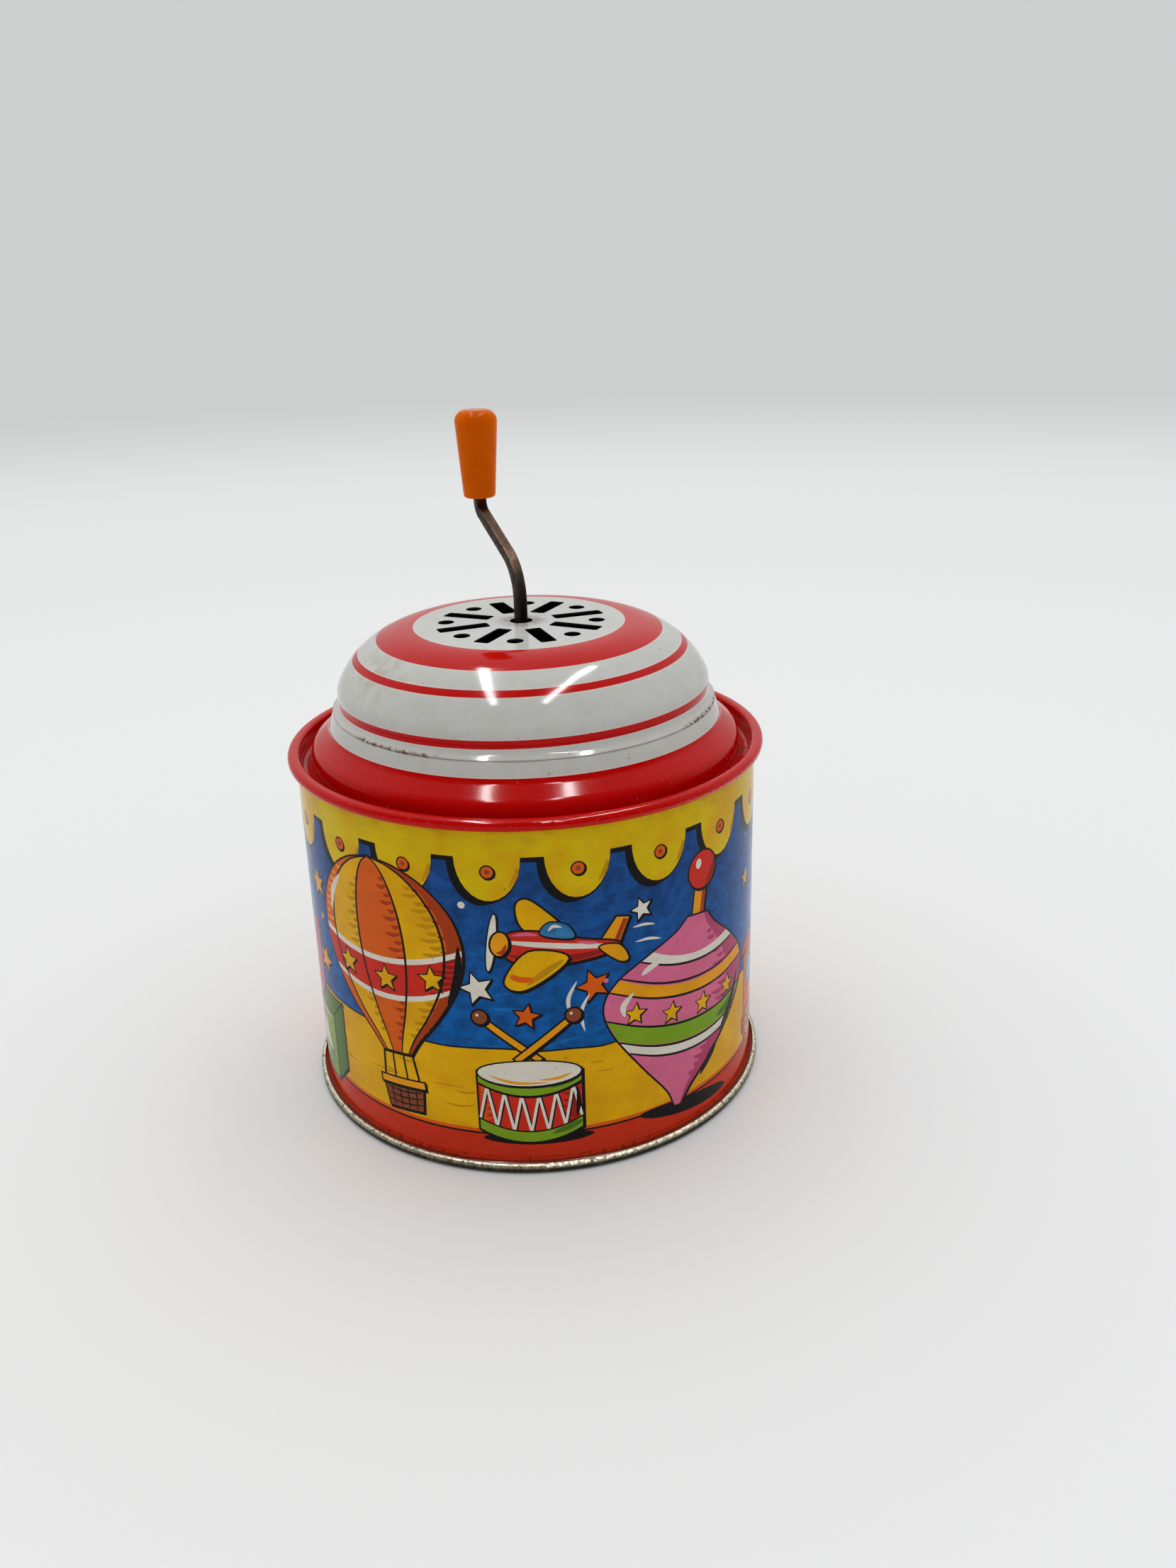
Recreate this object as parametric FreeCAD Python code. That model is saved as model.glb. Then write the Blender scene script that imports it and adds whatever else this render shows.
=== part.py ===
import FreeCAD, Part
import math
import os

from FreeCAD import Vector

# Hand-crank music tin, millimetres. The origin is on the floor under the crank's axis, +Z is up.

# Tinplate can
SHEET = 0.35              # thickness of all the tinplate
BODY_R = 49.5             # outside of the printed wall
RIM_TOP = 78.05           # floor to the top of the rim
RIM_PROUD = 1.8           # both seams stand this far out of the wall
RIM_HEIGHT = 2.3          # top seam, outside
RIM_ROUND = 0.96          # share of the top seam's height that is rounded
CHUCK_BEND = 0.45         # inside radius of the seams' inner corners
BASE_RING_HEIGHT = 2.2    # bottom seam, outside
BASE_ROUND = 0.52         # share of the bottom seam's height in its lower corner
HOOK_WIDTH = 0.8          # bottom seam's turned-in edge
HOOK_BEND = 0.3
FLANGE_BEND = 0.3         # wall's flange inside the top seam
FLARE_BEND = 1.0          # wall's flare into the bottom seam
BASE_RISE = 3.2           # floor to the underside of the recessed base
PANEL_BEND = 0.6
LAP_WIDTH = 5.0           # side seam of the wall
LAP_MARGIN = 1.0          # seam's ends to the end pressings
SEAM_GAP = 0.02           # between sheets that are rolled together

# Shoulder ring, from the rim inwards
CHANNEL_DEPTH = 4.05      # rim top to the channel's floor
CHANNEL_WIDTH = 2.6
CHANNEL_ROUND = 0.96      # share of the channel's floor that is rounded
FLANK_RUN = 4.0           # how far the red flank comes in
FLANK_FOOT_HEIGHT = 4.8   # upright foot of the flank
FLANK_BEND = 3.2          # flank's round over the foot
COVE_HEIGHT = 3.4         # foot's corner up to the foot of the white band
COVE_BEND = 2.0
BAND_HEIGHT = 4.0         # white band
BAND_TAPER = 1.2
EDGE_BEND = 0.3
LEDGE_WIDTH = 1.8         # band's top edge in to the neck
LEDGE_RISE = 1.2
COLLAR_HEIGHT = 2.6       # ring's collar, up inside the dome's neck
COLLAR_FLARE = 0.2
COLLAR_BEND = 0.15

# Dome
BULGE_OVERHANG = 0.8      # dome's lower edge out over the neck
BULGE_RISE = 3.1
NECK_ROUND = 0.35         # share of the overhang in the neck's hollow
BULGE_ROUND = 0.59        # share of the overhang in the lower edge's round
DOME_HEIGHT = 12.3        # lower edge to the top
DOME_LEAN = 6.33          # dome's side leans in by this over its height
DOME_CROWN = 0.32         # shoulder up to the middle of the top
DOME_STRAIGHT = 0.2       # straight side between the lower edge and the dome's round
CRANK_HOLE_R = 2.45
SOUND_COUNT = 8
SOUND_PHASE = -95.0       # degrees, first round hole
SOUND_HOLE_R = 1.75
SOUND_HOLE_RING = 16.0
SLOT_START = 7.2
SLOT_END = 18.2
SLOT_WIDTH = 3.5
SLOT_CORNER = 0.6

# Crank
ROD_SIZE = 2.4            # square rod, and the diameter of its turned shaft
CRANK_AZIMUTH = 112.8     # degrees, direction of the arm
CRANK_THROW = 20.1
ARM_START = 10.5          # dome top up to the first bend's corner
ARM_RISE = 10.2           # first bend's corner to the second's
LOWER_BEND = 10.0         # first bend, at the rod's middle
UPPER_BEND = 3.2          # second bend
ROD_TAIL = 0.5            # straight between the second bend and the knob's pin
PIN_R = 1.1               # pin that the knob turns on
PIN_HEAD_R = 1.4
PIN_HEAD_HEIGHT = 1.0
PIN_LENGTH = 14.0

# Knob
KNOB_LENGTH = 18.5
KNOB_FOOT_R = 3.45
KNOB_TOP_R = 4.75
KNOB_FOOT_ROUND = 0.7
KNOB_TOP_ROUND = 2.4

# Fits
RUN_GAP = 0.05            # running fits, on the radius
END_GAP = 0.05            # end play of each turning piece
THREAD_GAP = 0.02         # screw in its tapped hole, on the radius
HOLE_GAP = 0.2            # screw in its clear hole, on the radius

# Movement frame
SPACER_HEIGHT = 4.0
SPACER_R = 3.0
PLATE_THICKNESS = 1.5
PLATE_R = 38.0
MOUNT_RING = 33.0
MOUNT_COUNT = 3
MOUNT_PHASE = 90.0
PILLAR_R = 2.5
PILLAR_BACK = 11.0        # pillar behind the crank
PILLAR_SIDE = 22.0        # two pillars beside the drum
PLATE_MARGIN = 6.0        # upper plate, past the pillars' middles
FRAME_HEIGHT = 37.0       # between the plates

# Screws
SCREW_R = 1.0
SCREW_HEAD_R = 1.9
SCREW_HEAD_HEIGHT = 1.3
SCREW_SLOT = 0.5
SCREW_GRIP = 5.0          # depth of a screw in its pillar

# Gears
GEAR_MODULE = 0.7
PINION_TEETH = 12
DRUM_TEETH = 48
PRESSURE_ANGLE = math.radians(20)
ADDENDUM = 0.55
DEDENDUM = 0.85
BACKLASH = 0.14
FLANK_POINTS = 5
PINION_WIDTH = 3.2
GEAR_WIDTH = 2.0
GEAR_LIFT = 2.4           # lower plate up to the drum's gear
GEAR_HOLES = 6
GEAR_HOLE_R = 2.6
GEAR_HOLE_RING = 10.6

# Crank bearings
BUSH_R = 3.0
BUSH_FLANGE_R = 4.2
BUSH_FLANGE = 1.0
BUSH_FLOOR = 0.5
TUBE_R = 3.0
TUBE_FLANGE_R = 5.5
TUBE_FLANGE = 1.5
TUBE_TO_DOME = 6.0        # free height under the dome
COLLAR_R = 4.2
COLLAR_WIDTH = 3.0
SET_SCREW_R = 0.8
SET_SCREW_PROUD = 0.3

# Drum
ARBOR_R = 1.5
PIVOT_R = 1.0
DRUM_R = 9.0
DRUM_WALL = 0.6
DRUM_LIFT = 1.5           # gear up to the drum
DRUM_CLEARANCE = 2.05     # drum up to the upper bush
CAP_THICKNESS = 1.5
BUMP_R = 0.4
BUMP_HEIGHT = 0.7
BUMPS_PER_TRACK = 5

# Comb
COMB_AZIMUTH = -135.0     # degrees, direction from the drum's axis
COMB_THICKNESS = 0.8
TINES = 16
TINE_SLIT = 0.4
COMB_MARGIN = 1.2         # comb's edges in from the drum's ends
TIP_GAP = 0.15            # tips clear of the bumps
TINE_LONGEST = 21.0
TINE_SHORTEST = 13.0
HEEL_LENGTH = 8.0
BRACKET_THICKNESS = 2.0
BRACKET_FOOT = 11.0
CLAMP_THICKNESS = 1.5
COMB_SCREWS = 3
BRACKET_SCREWS = 2

# Heights and radii that follow
wall_inner_r = BODY_R - SHEET
rim_r = BODY_R + RIM_PROUD
chuck_r = wall_inner_r - SEAM_GAP - SHEET
rim_bend = RIM_ROUND * RIM_HEIGHT / 2 - SHEET
channel_z = RIM_TOP - CHANNEL_DEPTH
foot_r = chuck_r - CHANNEL_WIDTH
band_foot_r = foot_r - FLANK_RUN
band_top_r = band_foot_r - BAND_TAPER
flank_top_z = channel_z + FLANK_FOOT_HEIGHT
band_foot_z = flank_top_z + COVE_HEIGHT
band_top_z = band_foot_z + BAND_HEIGHT
ledge_way = Vector(-LEDGE_WIDTH, 0, LEDGE_RISE).normalize()
neck_r = band_top_r - LEDGE_WIDTH
neck_z = band_top_z + LEDGE_RISE
bulge_r = neck_r + BULGE_OVERHANG
bulge_z = neck_z + BULGE_RISE
dome_top_z = bulge_z + DOME_HEIGHT

base_top_z = BASE_RISE + SHEET
lower_z = base_top_z + SPACER_HEIGHT
lower_top_z = lower_z + PLATE_THICKNESS
upper_z = lower_top_z + FRAME_HEIGHT
upper_top_z = upper_z + PLATE_THICKNESS
gear_z = lower_top_z + GEAR_LIFT
drum_z = gear_z + GEAR_WIDTH + DRUM_LIFT
drum_top_z = upper_z - BUSH_FLANGE - END_GAP - DRUM_CLEARANCE
tube_top_z = dome_top_z - TUBE_TO_DOME
shaft_r = ROD_SIZE / 2
shaft_end_z = lower_z + BUSH_FLOOR + END_GAP

axle_distance = GEAR_MODULE * (PINION_TEETH + DRUM_TEETH) / 2
drum_axis = Vector(axle_distance, 0, 0)
pillar_spots = [
    Vector(-PILLAR_BACK, 0, 0),
    Vector(axle_distance, PILLAR_SIDE, 0),
    Vector(axle_distance, -PILLAR_SIDE, 0),
]
tip_s = DRUM_R + BUMP_HEIGHT + TIP_GAP
heel_s = tip_s + TINE_LONGEST
heel_end_s = heel_s + HEEL_LENGTH
comb_z = drum_z + COMB_MARGIN
comb_height = drum_top_z - COMB_MARGIN - comb_z
tine_pitch = comb_height / TINES

Z_AXIS = Vector(0, 0, 1)
ORIGIN = Vector(0, 0, 0)


# Building blocks

def polar(radius, degrees, z=0.0):
    angle = math.radians(degrees)
    return Vector(radius * math.cos(angle), radius * math.sin(angle), z)


def rod(radius, low, high, spot=ORIGIN):
    return Part.makeCylinder(radius, high - low, spot + Vector(0, 0, low))


def tube(outer, inner, low, high, spot=ORIGIN):
    return rod(outer, low, high, spot).cut(rod(inner, low, high, spot))


def around(count, phase):
    return [phase + 360.0 * k / count for k in range(count)]


def placed(shape, spot, axis=Z_AXIS):
    copy = shape.copy()
    copy.Placement = FreeCAD.Placement(spot, FreeCAD.Rotation(Z_AXIS, axis))
    return copy


def left_of(direction):
    return Vector(-direction.z, 0, direction.x)


def pressed_sheet(path, bends, thickness=SHEET):
    """Turned sheet. path holds the corners (r, z) of its right-hand skin, bends their inside radii."""
    corners = [Vector(r, 0, z) for r, z in path]
    first = (corners[1] - corners[0]).normalize()
    last = (corners[-1] - corners[-2]).normalize()
    right = []
    left = []
    right_at = corners[0]
    left_at = right_at + left_of(first) * thickness
    start_cap = Part.LineSegment(left_at, right_at).toShape()
    for before, corner, after, bend in zip(corners, corners[1:], corners[2:], bends):
        way_in = (corner - before).normalize()
        way_out = (after - corner).normalize()
        turn = math.atan2(left_of(way_in).dot(way_out), way_in.dot(way_out))
        side = math.copysign(1, turn)
        near = bend + thickness if side > 0 else bend
        reach = near * math.tan(abs(turn) / 2)
        bend_in = corner - way_in * reach
        bend_out = corner + way_out * reach
        centre = bend_in + left_of(way_in) * (side * near)
        outward = (corner - centre).normalize()
        middle = centre + outward * near
        shift_in = left_of(way_in) * thickness
        shift_out = left_of(way_out) * thickness
        left_middle = centre + outward * (near - side * thickness)
        right.append(Part.LineSegment(right_at, bend_in).toShape())
        right.append(Part.Arc(bend_in, middle, bend_out).toShape())
        left.append(Part.LineSegment(left_at, bend_in + shift_in).toShape())
        left.append(Part.Arc(bend_in + shift_in, left_middle, bend_out + shift_out).toShape())
        right_at = bend_out
        left_at = bend_out + shift_out
    left_end = corners[-1] + left_of(last) * thickness
    right.append(Part.LineSegment(right_at, corners[-1]).toShape())
    left.append(Part.LineSegment(left_at, left_end).toShape())
    end_cap = Part.LineSegment(corners[-1], left_end).toShape()
    edges = [start_cap] + right + [end_cap] + left
    outline = Part.Wire(Part.__sortEdges__(edges))
    return Part.Face(outline).revolve(ORIGIN, Z_AXIS, 360)


def slotted_screw(length):
    """Screw along Z: its head sits above z = 0 and its shank reaches down."""
    head = rod(SCREW_HEAD_R, 0, SCREW_HEAD_HEIGHT)
    shank = rod(SCREW_R, -length, 0)
    corner = Vector(-SCREW_HEAD_R, -SCREW_SLOT / 2, SCREW_HEAD_HEIGHT - SCREW_SLOT)
    slot = Part.makeBox(2 * SCREW_HEAD_R, SCREW_SLOT, SCREW_SLOT, corner)
    return head.fuse(shank).cut(slot)


def involute(angle):
    return math.tan(angle) - angle


def gear_blank(teeth, width, phase):
    """Spur gear about Z from z = 0, with a tooth at the angle phase."""
    pitch_r = GEAR_MODULE * teeth / 2
    base_r = pitch_r * math.cos(PRESSURE_ANGLE)
    root_r = pitch_r - DEDENDUM
    height = ADDENDUM + DEDENDUM
    half_at_pitch = math.pi / (2 * teeth) - BACKLASH / (4 * pitch_r)
    flank = []
    for k in range(FLANK_POINTS):
        radius = root_r + height * k / (FLANK_POINTS - 1)
        pressure = math.acos(min(1.0, base_r / radius))
        half = half_at_pitch + involute(PRESSURE_ANGLE) - involute(pressure)
        flank.append((radius, math.degrees(half)))
    points = []
    for middle in around(teeth, phase):
        points += [polar(radius, middle - half) for radius, half in flank]
        points += [polar(radius, middle + half) for radius, half in reversed(flank)]
    outline = Part.makePolygon(points + points[:1])
    return Part.Face(outline).extrude(Vector(0, 0, width))


def comb_box(s_low, s_high, w_low, w_high, z_low, z_high):
    """Box in the comb's own frame: s runs from the drum's axis along the tines, w across them."""
    size = (s_high - s_low, w_high - w_low, z_high - z_low)
    return Part.makeBox(*size, Vector(s_low, w_low, z_low))


def comb_to_tin(shape):
    copy = shape.copy()
    copy.Placement = FreeCAD.Placement(drum_axis, FreeCAD.Rotation(Z_AXIS, COMB_AZIMUTH)) * copy.Placement
    return copy


# Can

def body_wall():
    low = BASE_RING_HEIGHT - SHEET - SEAM_GAP
    high = RIM_TOP - 2 * SHEET - SEAM_GAP
    low_r = rim_r - SHEET - HOOK_BEND
    high_r = rim_r - SHEET - rim_bend
    path = [(low_r, low), (BODY_R, low), (BODY_R, high), (high_r, high)]
    wall = pressed_sheet(path, [FLARE_BEND, FLANGE_BEND])
    lap_low = base_top_z + LAP_MARGIN
    lap_high = channel_z - SHEET - LAP_MARGIN
    lap = tube(wall_inner_r, wall_inner_r - SHEET, lap_low, lap_high)
    window = Part.makeBox(LAP_WIDTH, BODY_R, RIM_TOP, Vector(-LAP_WIDTH / 2, 0, 0))
    return wall.fuse(lap.common(window)).removeSplitter()


def mount_spots():
    return [polar(MOUNT_RING, degrees) for degrees in around(MOUNT_COUNT, MOUNT_PHASE)]


def base_plate():
    path = [
        (0, BASE_RISE), (chuck_r, BASE_RISE), (chuck_r, 0), (rim_r, 0),
        (rim_r, BASE_RING_HEIGHT), (rim_r - HOOK_WIDTH, BASE_RING_HEIGHT),
    ]
    foot_bend = BASE_ROUND * BASE_RING_HEIGHT - SHEET
    plate = pressed_sheet(path, [PANEL_BEND, CHUCK_BEND, foot_bend, HOOK_BEND])
    holes = [rod(SCREW_R + HOLE_GAP, 0, lower_z, spot) for spot in mount_spots()]
    return plate.cut(holes)


def shoulder_ring():
    rim_low = RIM_TOP - RIM_HEIGHT
    channel_bend = CHANNEL_ROUND * CHANNEL_WIDTH / 2
    # The ledge runs under the dome's flared foot, so it lies one sheet lower than the dome's skin.
    drop = Vector(ledge_way.z, 0, -ledge_way.x) * (SHEET + SEAM_GAP)
    edge_z = band_top_z - drop.z - drop.x * LEDGE_RISE / LEDGE_WIDTH
    collar_r = neck_r - SHEET - SEAM_GAP
    collar_z = edge_z + (band_top_r - collar_r) * LEDGE_RISE / LEDGE_WIDTH
    path = [
        (BODY_R + SEAM_GAP, rim_low), (rim_r, rim_low), (rim_r, RIM_TOP), (chuck_r, RIM_TOP),
        (chuck_r, channel_z), (foot_r, channel_z), (foot_r, flank_top_z),
        (band_foot_r, band_foot_z), (band_top_r, edge_z),
        (collar_r, collar_z), (collar_r + COLLAR_FLARE, collar_z + COLLAR_HEIGHT),
    ]
    bends = [
        rim_bend, rim_bend, CHUCK_BEND, channel_bend, channel_bend,
        FLANK_BEND, COVE_BEND, EDGE_BEND, COLLAR_BEND,
    ]
    return pressed_sheet(path, bends)


def sound_slot():
    length = SLOT_END - SLOT_START
    corner = Vector(SLOT_START, -SLOT_WIDTH / 2, bulge_z)
    block = Part.makeBox(length, SLOT_WIDTH, DOME_HEIGHT + SHEET, corner)
    upright = [edge for edge in block.Edges if abs(edge.tangentAt(edge.FirstParameter).z) > 0.5]
    return block.makeFillet(SLOT_CORNER, upright)


def dome_cap():
    low = Vector(bulge_r, 0, bulge_z)
    shoulder = Vector(bulge_r - DOME_LEAN, 0, dome_top_z - DOME_CROWN)
    top = Vector(CRANK_HOLE_R, 0, dome_top_z)
    foot_way = Vector(BULGE_OVERHANG, 0, BULGE_RISE)
    side_way = shoulder - low
    neck_reach = NECK_ROUND * foot_way.Length
    bulge_reach = BULGE_ROUND * foot_way.Length
    # The dome's round is as large as its side leaves room for.
    side_reach = side_way.Length - bulge_reach - DOME_STRAIGHT
    neck_bend = neck_reach / math.tan(ledge_way.getAngle(foot_way) / 2)
    bulge_bend = bulge_reach / math.tan(foot_way.getAngle(side_way) / 2) - SHEET
    dome_bend = side_reach / math.tan(side_way.getAngle(top - shoulder) / 2) - SHEET
    path = [
        (band_top_r, band_top_z), (neck_r, neck_z), (bulge_r, bulge_z),
        (shoulder.x, shoulder.z), (CRANK_HOLE_R, dome_top_z),
    ]
    dome = pressed_sheet(path, [neck_bend, bulge_bend, dome_bend])
    cuts = []
    for degrees in around(SOUND_COUNT, SOUND_PHASE):
        cuts.append(rod(SOUND_HOLE_R, bulge_z, dome_top_z + SHEET, polar(SOUND_HOLE_RING, degrees)))
        slot = sound_slot()
        slot.rotate(ORIGIN, Z_AXIS, degrees + 180.0 / SOUND_COUNT)
        cuts.append(slot)
    return dome.cut(cuts)


# Crank

arm_way = Vector(CRANK_THROW, 0, ARM_RISE).normalize()
arm_turn = Z_AXIS.getAngle(arm_way)
lower_reach = LOWER_BEND * math.tan(arm_turn / 2)
upper_reach = UPPER_BEND * math.tan(arm_turn / 2)
first_corner_z = dome_top_z + ARM_START
second_corner_z = first_corner_z + ARM_RISE
pin_z = second_corner_z + upper_reach + ROD_TAIL
pin_top_z = pin_z + PIN_LENGTH
knob_z = pin_z + END_GAP
knob_spot = polar(CRANK_THROW, CRANK_AZIMUTH)


def crank_rod():
    """Made with its arm along X, then turned to its direction."""
    turn = math.degrees(arm_turn)
    first = Vector(0, 0, first_corner_z)
    second = Vector(CRANK_THROW, 0, second_corner_z)
    bend_foot = first - Z_AXIS * lower_reach
    half = ROD_SIZE / 2
    foot = Vector(0, 0, tube_top_z + END_GAP)
    section = Part.Face(Part.makePolygon([
        foot + Vector(x * half, y * half, 0)
        for x, y in ((-1, -1), (1, -1), (1, 1), (-1, 1), (-1, -1))
    ]))
    upright = section.extrude(bend_foot - foot)
    section.translate(bend_foot - foot)
    lower_pivot = bend_foot + Vector(LOWER_BEND, 0, 0)
    lower_bend = section.revolve(lower_pivot, Vector(0, 1, 0), turn)
    section.rotate(lower_pivot, Vector(0, 1, 0), turn)
    arm_run = arm_way * ((second - first).Length - lower_reach - upper_reach)
    arm = section.extrude(arm_run)
    section.translate(arm_run)
    upper_pivot = second + Z_AXIS * upper_reach - Vector(UPPER_BEND, 0, 0)
    upper_bend = section.revolve(upper_pivot, Vector(0, 1, 0), -turn)
    section.rotate(upper_pivot, Vector(0, 1, 0), -turn)
    tail = section.extrude(Z_AXIS * ROD_TAIL)
    spot = Vector(CRANK_THROW, 0, 0)
    pin = rod(PIN_R, pin_z, pin_top_z, spot)
    head = rod(PIN_HEAD_R, pin_top_z, pin_top_z + PIN_HEAD_HEIGHT, spot)
    shaft = rod(shaft_r, shaft_end_z, foot.z)
    whole = shaft.fuse([upright, lower_bend, arm, upper_bend, tail, pin, head]).removeSplitter()
    whole.rotate(ORIGIN, Z_AXIS, CRANK_AZIMUTH)
    return whole


def crank_knob():
    foot = Part.makeCone(KNOB_FOOT_R, KNOB_TOP_R, KNOB_LENGTH, knob_spot + Vector(0, 0, knob_z))
    rings = [edge for edge in foot.Edges if isinstance(edge.Curve, Part.Circle)]
    low = [edge for edge in rings if edge.Curve.Center.z < knob_z + KNOB_LENGTH / 2]
    grip = foot.makeFillet(KNOB_FOOT_ROUND, low)
    high = [edge for edge in grip.Edges if edge.BoundBox.ZMin > knob_z + KNOB_LENGTH / 2]
    grip = grip.makeFillet(KNOB_TOP_ROUND, high)
    bore = rod(PIN_R + RUN_GAP, knob_z, pin_top_z, knob_spot)
    pocket_low = pin_top_z - END_GAP
    pocket_high = pin_top_z + PIN_HEAD_HEIGHT + END_GAP
    pocket = rod(PIN_HEAD_R + RUN_GAP, pocket_low, pocket_high, knob_spot)
    return grip.cut([bore, pocket])


def crank_pinion():
    blank = gear_blank(PINION_TEETH, PINION_WIDTH, 0.0)
    blank.translate(Vector(0, 0, gear_z - (PINION_WIDTH - GEAR_WIDTH) / 2))
    return blank.cut(rod(shaft_r, 0, upper_z))


def collar_low():
    return upper_z - END_GAP - COLLAR_WIDTH


def set_screw_hole(radius, length):
    middle = Vector(0, 0, collar_low() + COLLAR_WIDTH / 2)
    return Part.makeCylinder(radius, length, middle - Vector(shaft_r, 0, 0), Vector(-1, 0, 0))


def crank_collar():
    ring = tube(COLLAR_R, shaft_r, collar_low(), collar_low() + COLLAR_WIDTH)
    return ring.cut(set_screw_hole(SET_SCREW_R + THREAD_GAP, COLLAR_R))


def collar_screw():
    return set_screw_hole(SET_SCREW_R, COLLAR_R - shaft_r + SET_SCREW_PROUD)


def footstep_bearing():
    top = lower_top_z + BUSH_FLANGE
    bush = rod(BUSH_R, lower_z, lower_top_z).fuse(rod(BUSH_FLANGE_R, lower_top_z, top))
    return bush.cut(rod(shaft_r + RUN_GAP, lower_z + BUSH_FLOOR, top))


def crank_bearing_tube():
    bearing = rod(TUBE_R, upper_z, tube_top_z)
    flange = rod(TUBE_FLANGE_R, upper_top_z, upper_top_z + TUBE_FLANGE)
    return bearing.fuse(flange).cut(rod(shaft_r + RUN_GAP, upper_z, tube_top_z))


# Movement frame

def movement_spacers():
    inner = SCREW_R + HOLE_GAP
    return Part.makeCompound([tube(SPACER_R, inner, base_top_z, lower_z, spot) for spot in mount_spots()])


def mounting_screws():
    length = lower_top_z - BASE_RISE
    screw = slotted_screw(length)
    down = Vector(0, 0, -1)
    return Part.makeCompound([placed(screw, spot + Vector(0, 0, BASE_RISE), down) for spot in mount_spots()])


def bracket_screw_spots():
    """In the comb's own frame: s along the tines, w across them."""
    middle_s = heel_s + HEEL_LENGTH / 2
    spread = HEEL_LENGTH - 2 * SCREW_HEAD_R
    w = -COMB_THICKNESS / 2 - BRACKET_THICKNESS - BRACKET_FOOT / 2
    spots = []
    for k in range(BRACKET_SCREWS):
        share = k / (BRACKET_SCREWS - 1) - 0.5
        spots.append(Vector(middle_s, w + share * spread, lower_top_z + BRACKET_THICKNESS))
    return spots


def frame_lower_plate():
    plate = rod(PLATE_R, lower_z, lower_top_z)
    cuts = [rod(BUSH_R, lower_z, lower_top_z), rod(BUSH_R, lower_z, lower_top_z, drum_axis)]
    cuts += [rod(SCREW_R + HOLE_GAP, lower_z, lower_top_z, spot) for spot in pillar_spots]
    cuts += [rod(SCREW_R + THREAD_GAP, lower_z, lower_top_z, spot) for spot in mount_spots()]
    for spot in bracket_screw_spots():
        flat = Vector(spot.x, spot.y, 0)
        cuts.append(comb_to_tin(rod(SCREW_R + THREAD_GAP, lower_z, lower_top_z, flat)))
    return plate.cut(cuts)


def frame_upper_plate():
    outline = Part.makePolygon(pillar_spots + pillar_spots[:1])
    face = Part.Face(outline).makeOffset2D(PLATE_MARGIN)
    plate = face.extrude(Vector(0, 0, PLATE_THICKNESS))
    plate.translate(Vector(0, 0, upper_z))
    cuts = [rod(TUBE_R, upper_z, upper_top_z), rod(BUSH_R, upper_z, upper_top_z, drum_axis)]
    cuts += [rod(SCREW_R + HOLE_GAP, upper_z, upper_top_z, spot) for spot in pillar_spots]
    return plate.cut(cuts)


def frame_pillars():
    bore = SCREW_R + THREAD_GAP
    pillars = []
    for spot in pillar_spots:
        low_hole = rod(bore, lower_top_z, lower_top_z + SCREW_GRIP, spot)
        high_hole = rod(bore, upper_z - SCREW_GRIP, upper_z, spot)
        pillars.append(rod(PILLAR_R, lower_top_z, upper_z, spot).cut([low_hole, high_hole]))
    return Part.makeCompound(pillars)


def pillar_screws():
    screw = slotted_screw(PLATE_THICKNESS + SCREW_GRIP)
    screws = []
    for spot in pillar_spots:
        screws.append(placed(screw, spot + Vector(0, 0, upper_top_z)))
        screws.append(placed(screw, spot + Vector(0, 0, lower_z), Vector(0, 0, -1)))
    return Part.makeCompound(screws)


# Drum

def drum_arbor():
    low = lower_top_z + BUSH_FLANGE + END_GAP
    high = upper_z - BUSH_FLANGE - END_GAP
    stem = rod(ARBOR_R, low, high, drum_axis)
    pivots = rod(PIVOT_R, lower_z, upper_top_z, drum_axis)
    return stem.fuse(pivots)


def drum_bushes():
    bore = PIVOT_R + RUN_GAP
    lower_flange_z = lower_top_z + BUSH_FLANGE
    upper_flange_z = upper_z - BUSH_FLANGE
    lower = rod(BUSH_R, lower_z, lower_top_z, drum_axis)
    lower = lower.fuse(rod(BUSH_FLANGE_R, lower_top_z, lower_flange_z, drum_axis))
    upper = rod(BUSH_R, upper_z, upper_top_z, drum_axis)
    upper = upper.fuse(rod(BUSH_FLANGE_R, upper_flange_z, upper_z, drum_axis))
    bore_cut = rod(bore, lower_z, upper_top_z, drum_axis)
    return Part.makeCompound([lower.cut(bore_cut), upper.cut(bore_cut)])


def drum_gear():
    # Half a tooth of phase puts a gap, not a tooth, against the pinion's tooth on the line of centres.
    wheel = gear_blank(DRUM_TEETH, GEAR_WIDTH, 180.0 / DRUM_TEETH)
    cuts = [rod(ARBOR_R, 0, GEAR_WIDTH)]
    for degrees in around(GEAR_HOLES, 0.0):
        cuts.append(rod(GEAR_HOLE_R, 0, GEAR_WIDTH, polar(GEAR_HOLE_RING, degrees)))
    wheel = wheel.cut(cuts)
    wheel.translate(drum_axis + Vector(0, 0, gear_z))
    return wheel


def drum_caps():
    """Lower cap with a hub down to the gear, and a plain upper cap."""
    cap_r = DRUM_R - DRUM_WALL
    lower = tube(cap_r, ARBOR_R, drum_z, drum_z + CAP_THICKNESS, drum_axis)
    hub = tube(BUSH_FLANGE_R, ARBOR_R, gear_z + GEAR_WIDTH, drum_z, drum_axis)
    upper = tube(cap_r, ARBOR_R, drum_top_z - CAP_THICKNESS, drum_top_z, drum_axis)
    return Part.makeCompound([lower.fuse(hub), upper])


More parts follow.
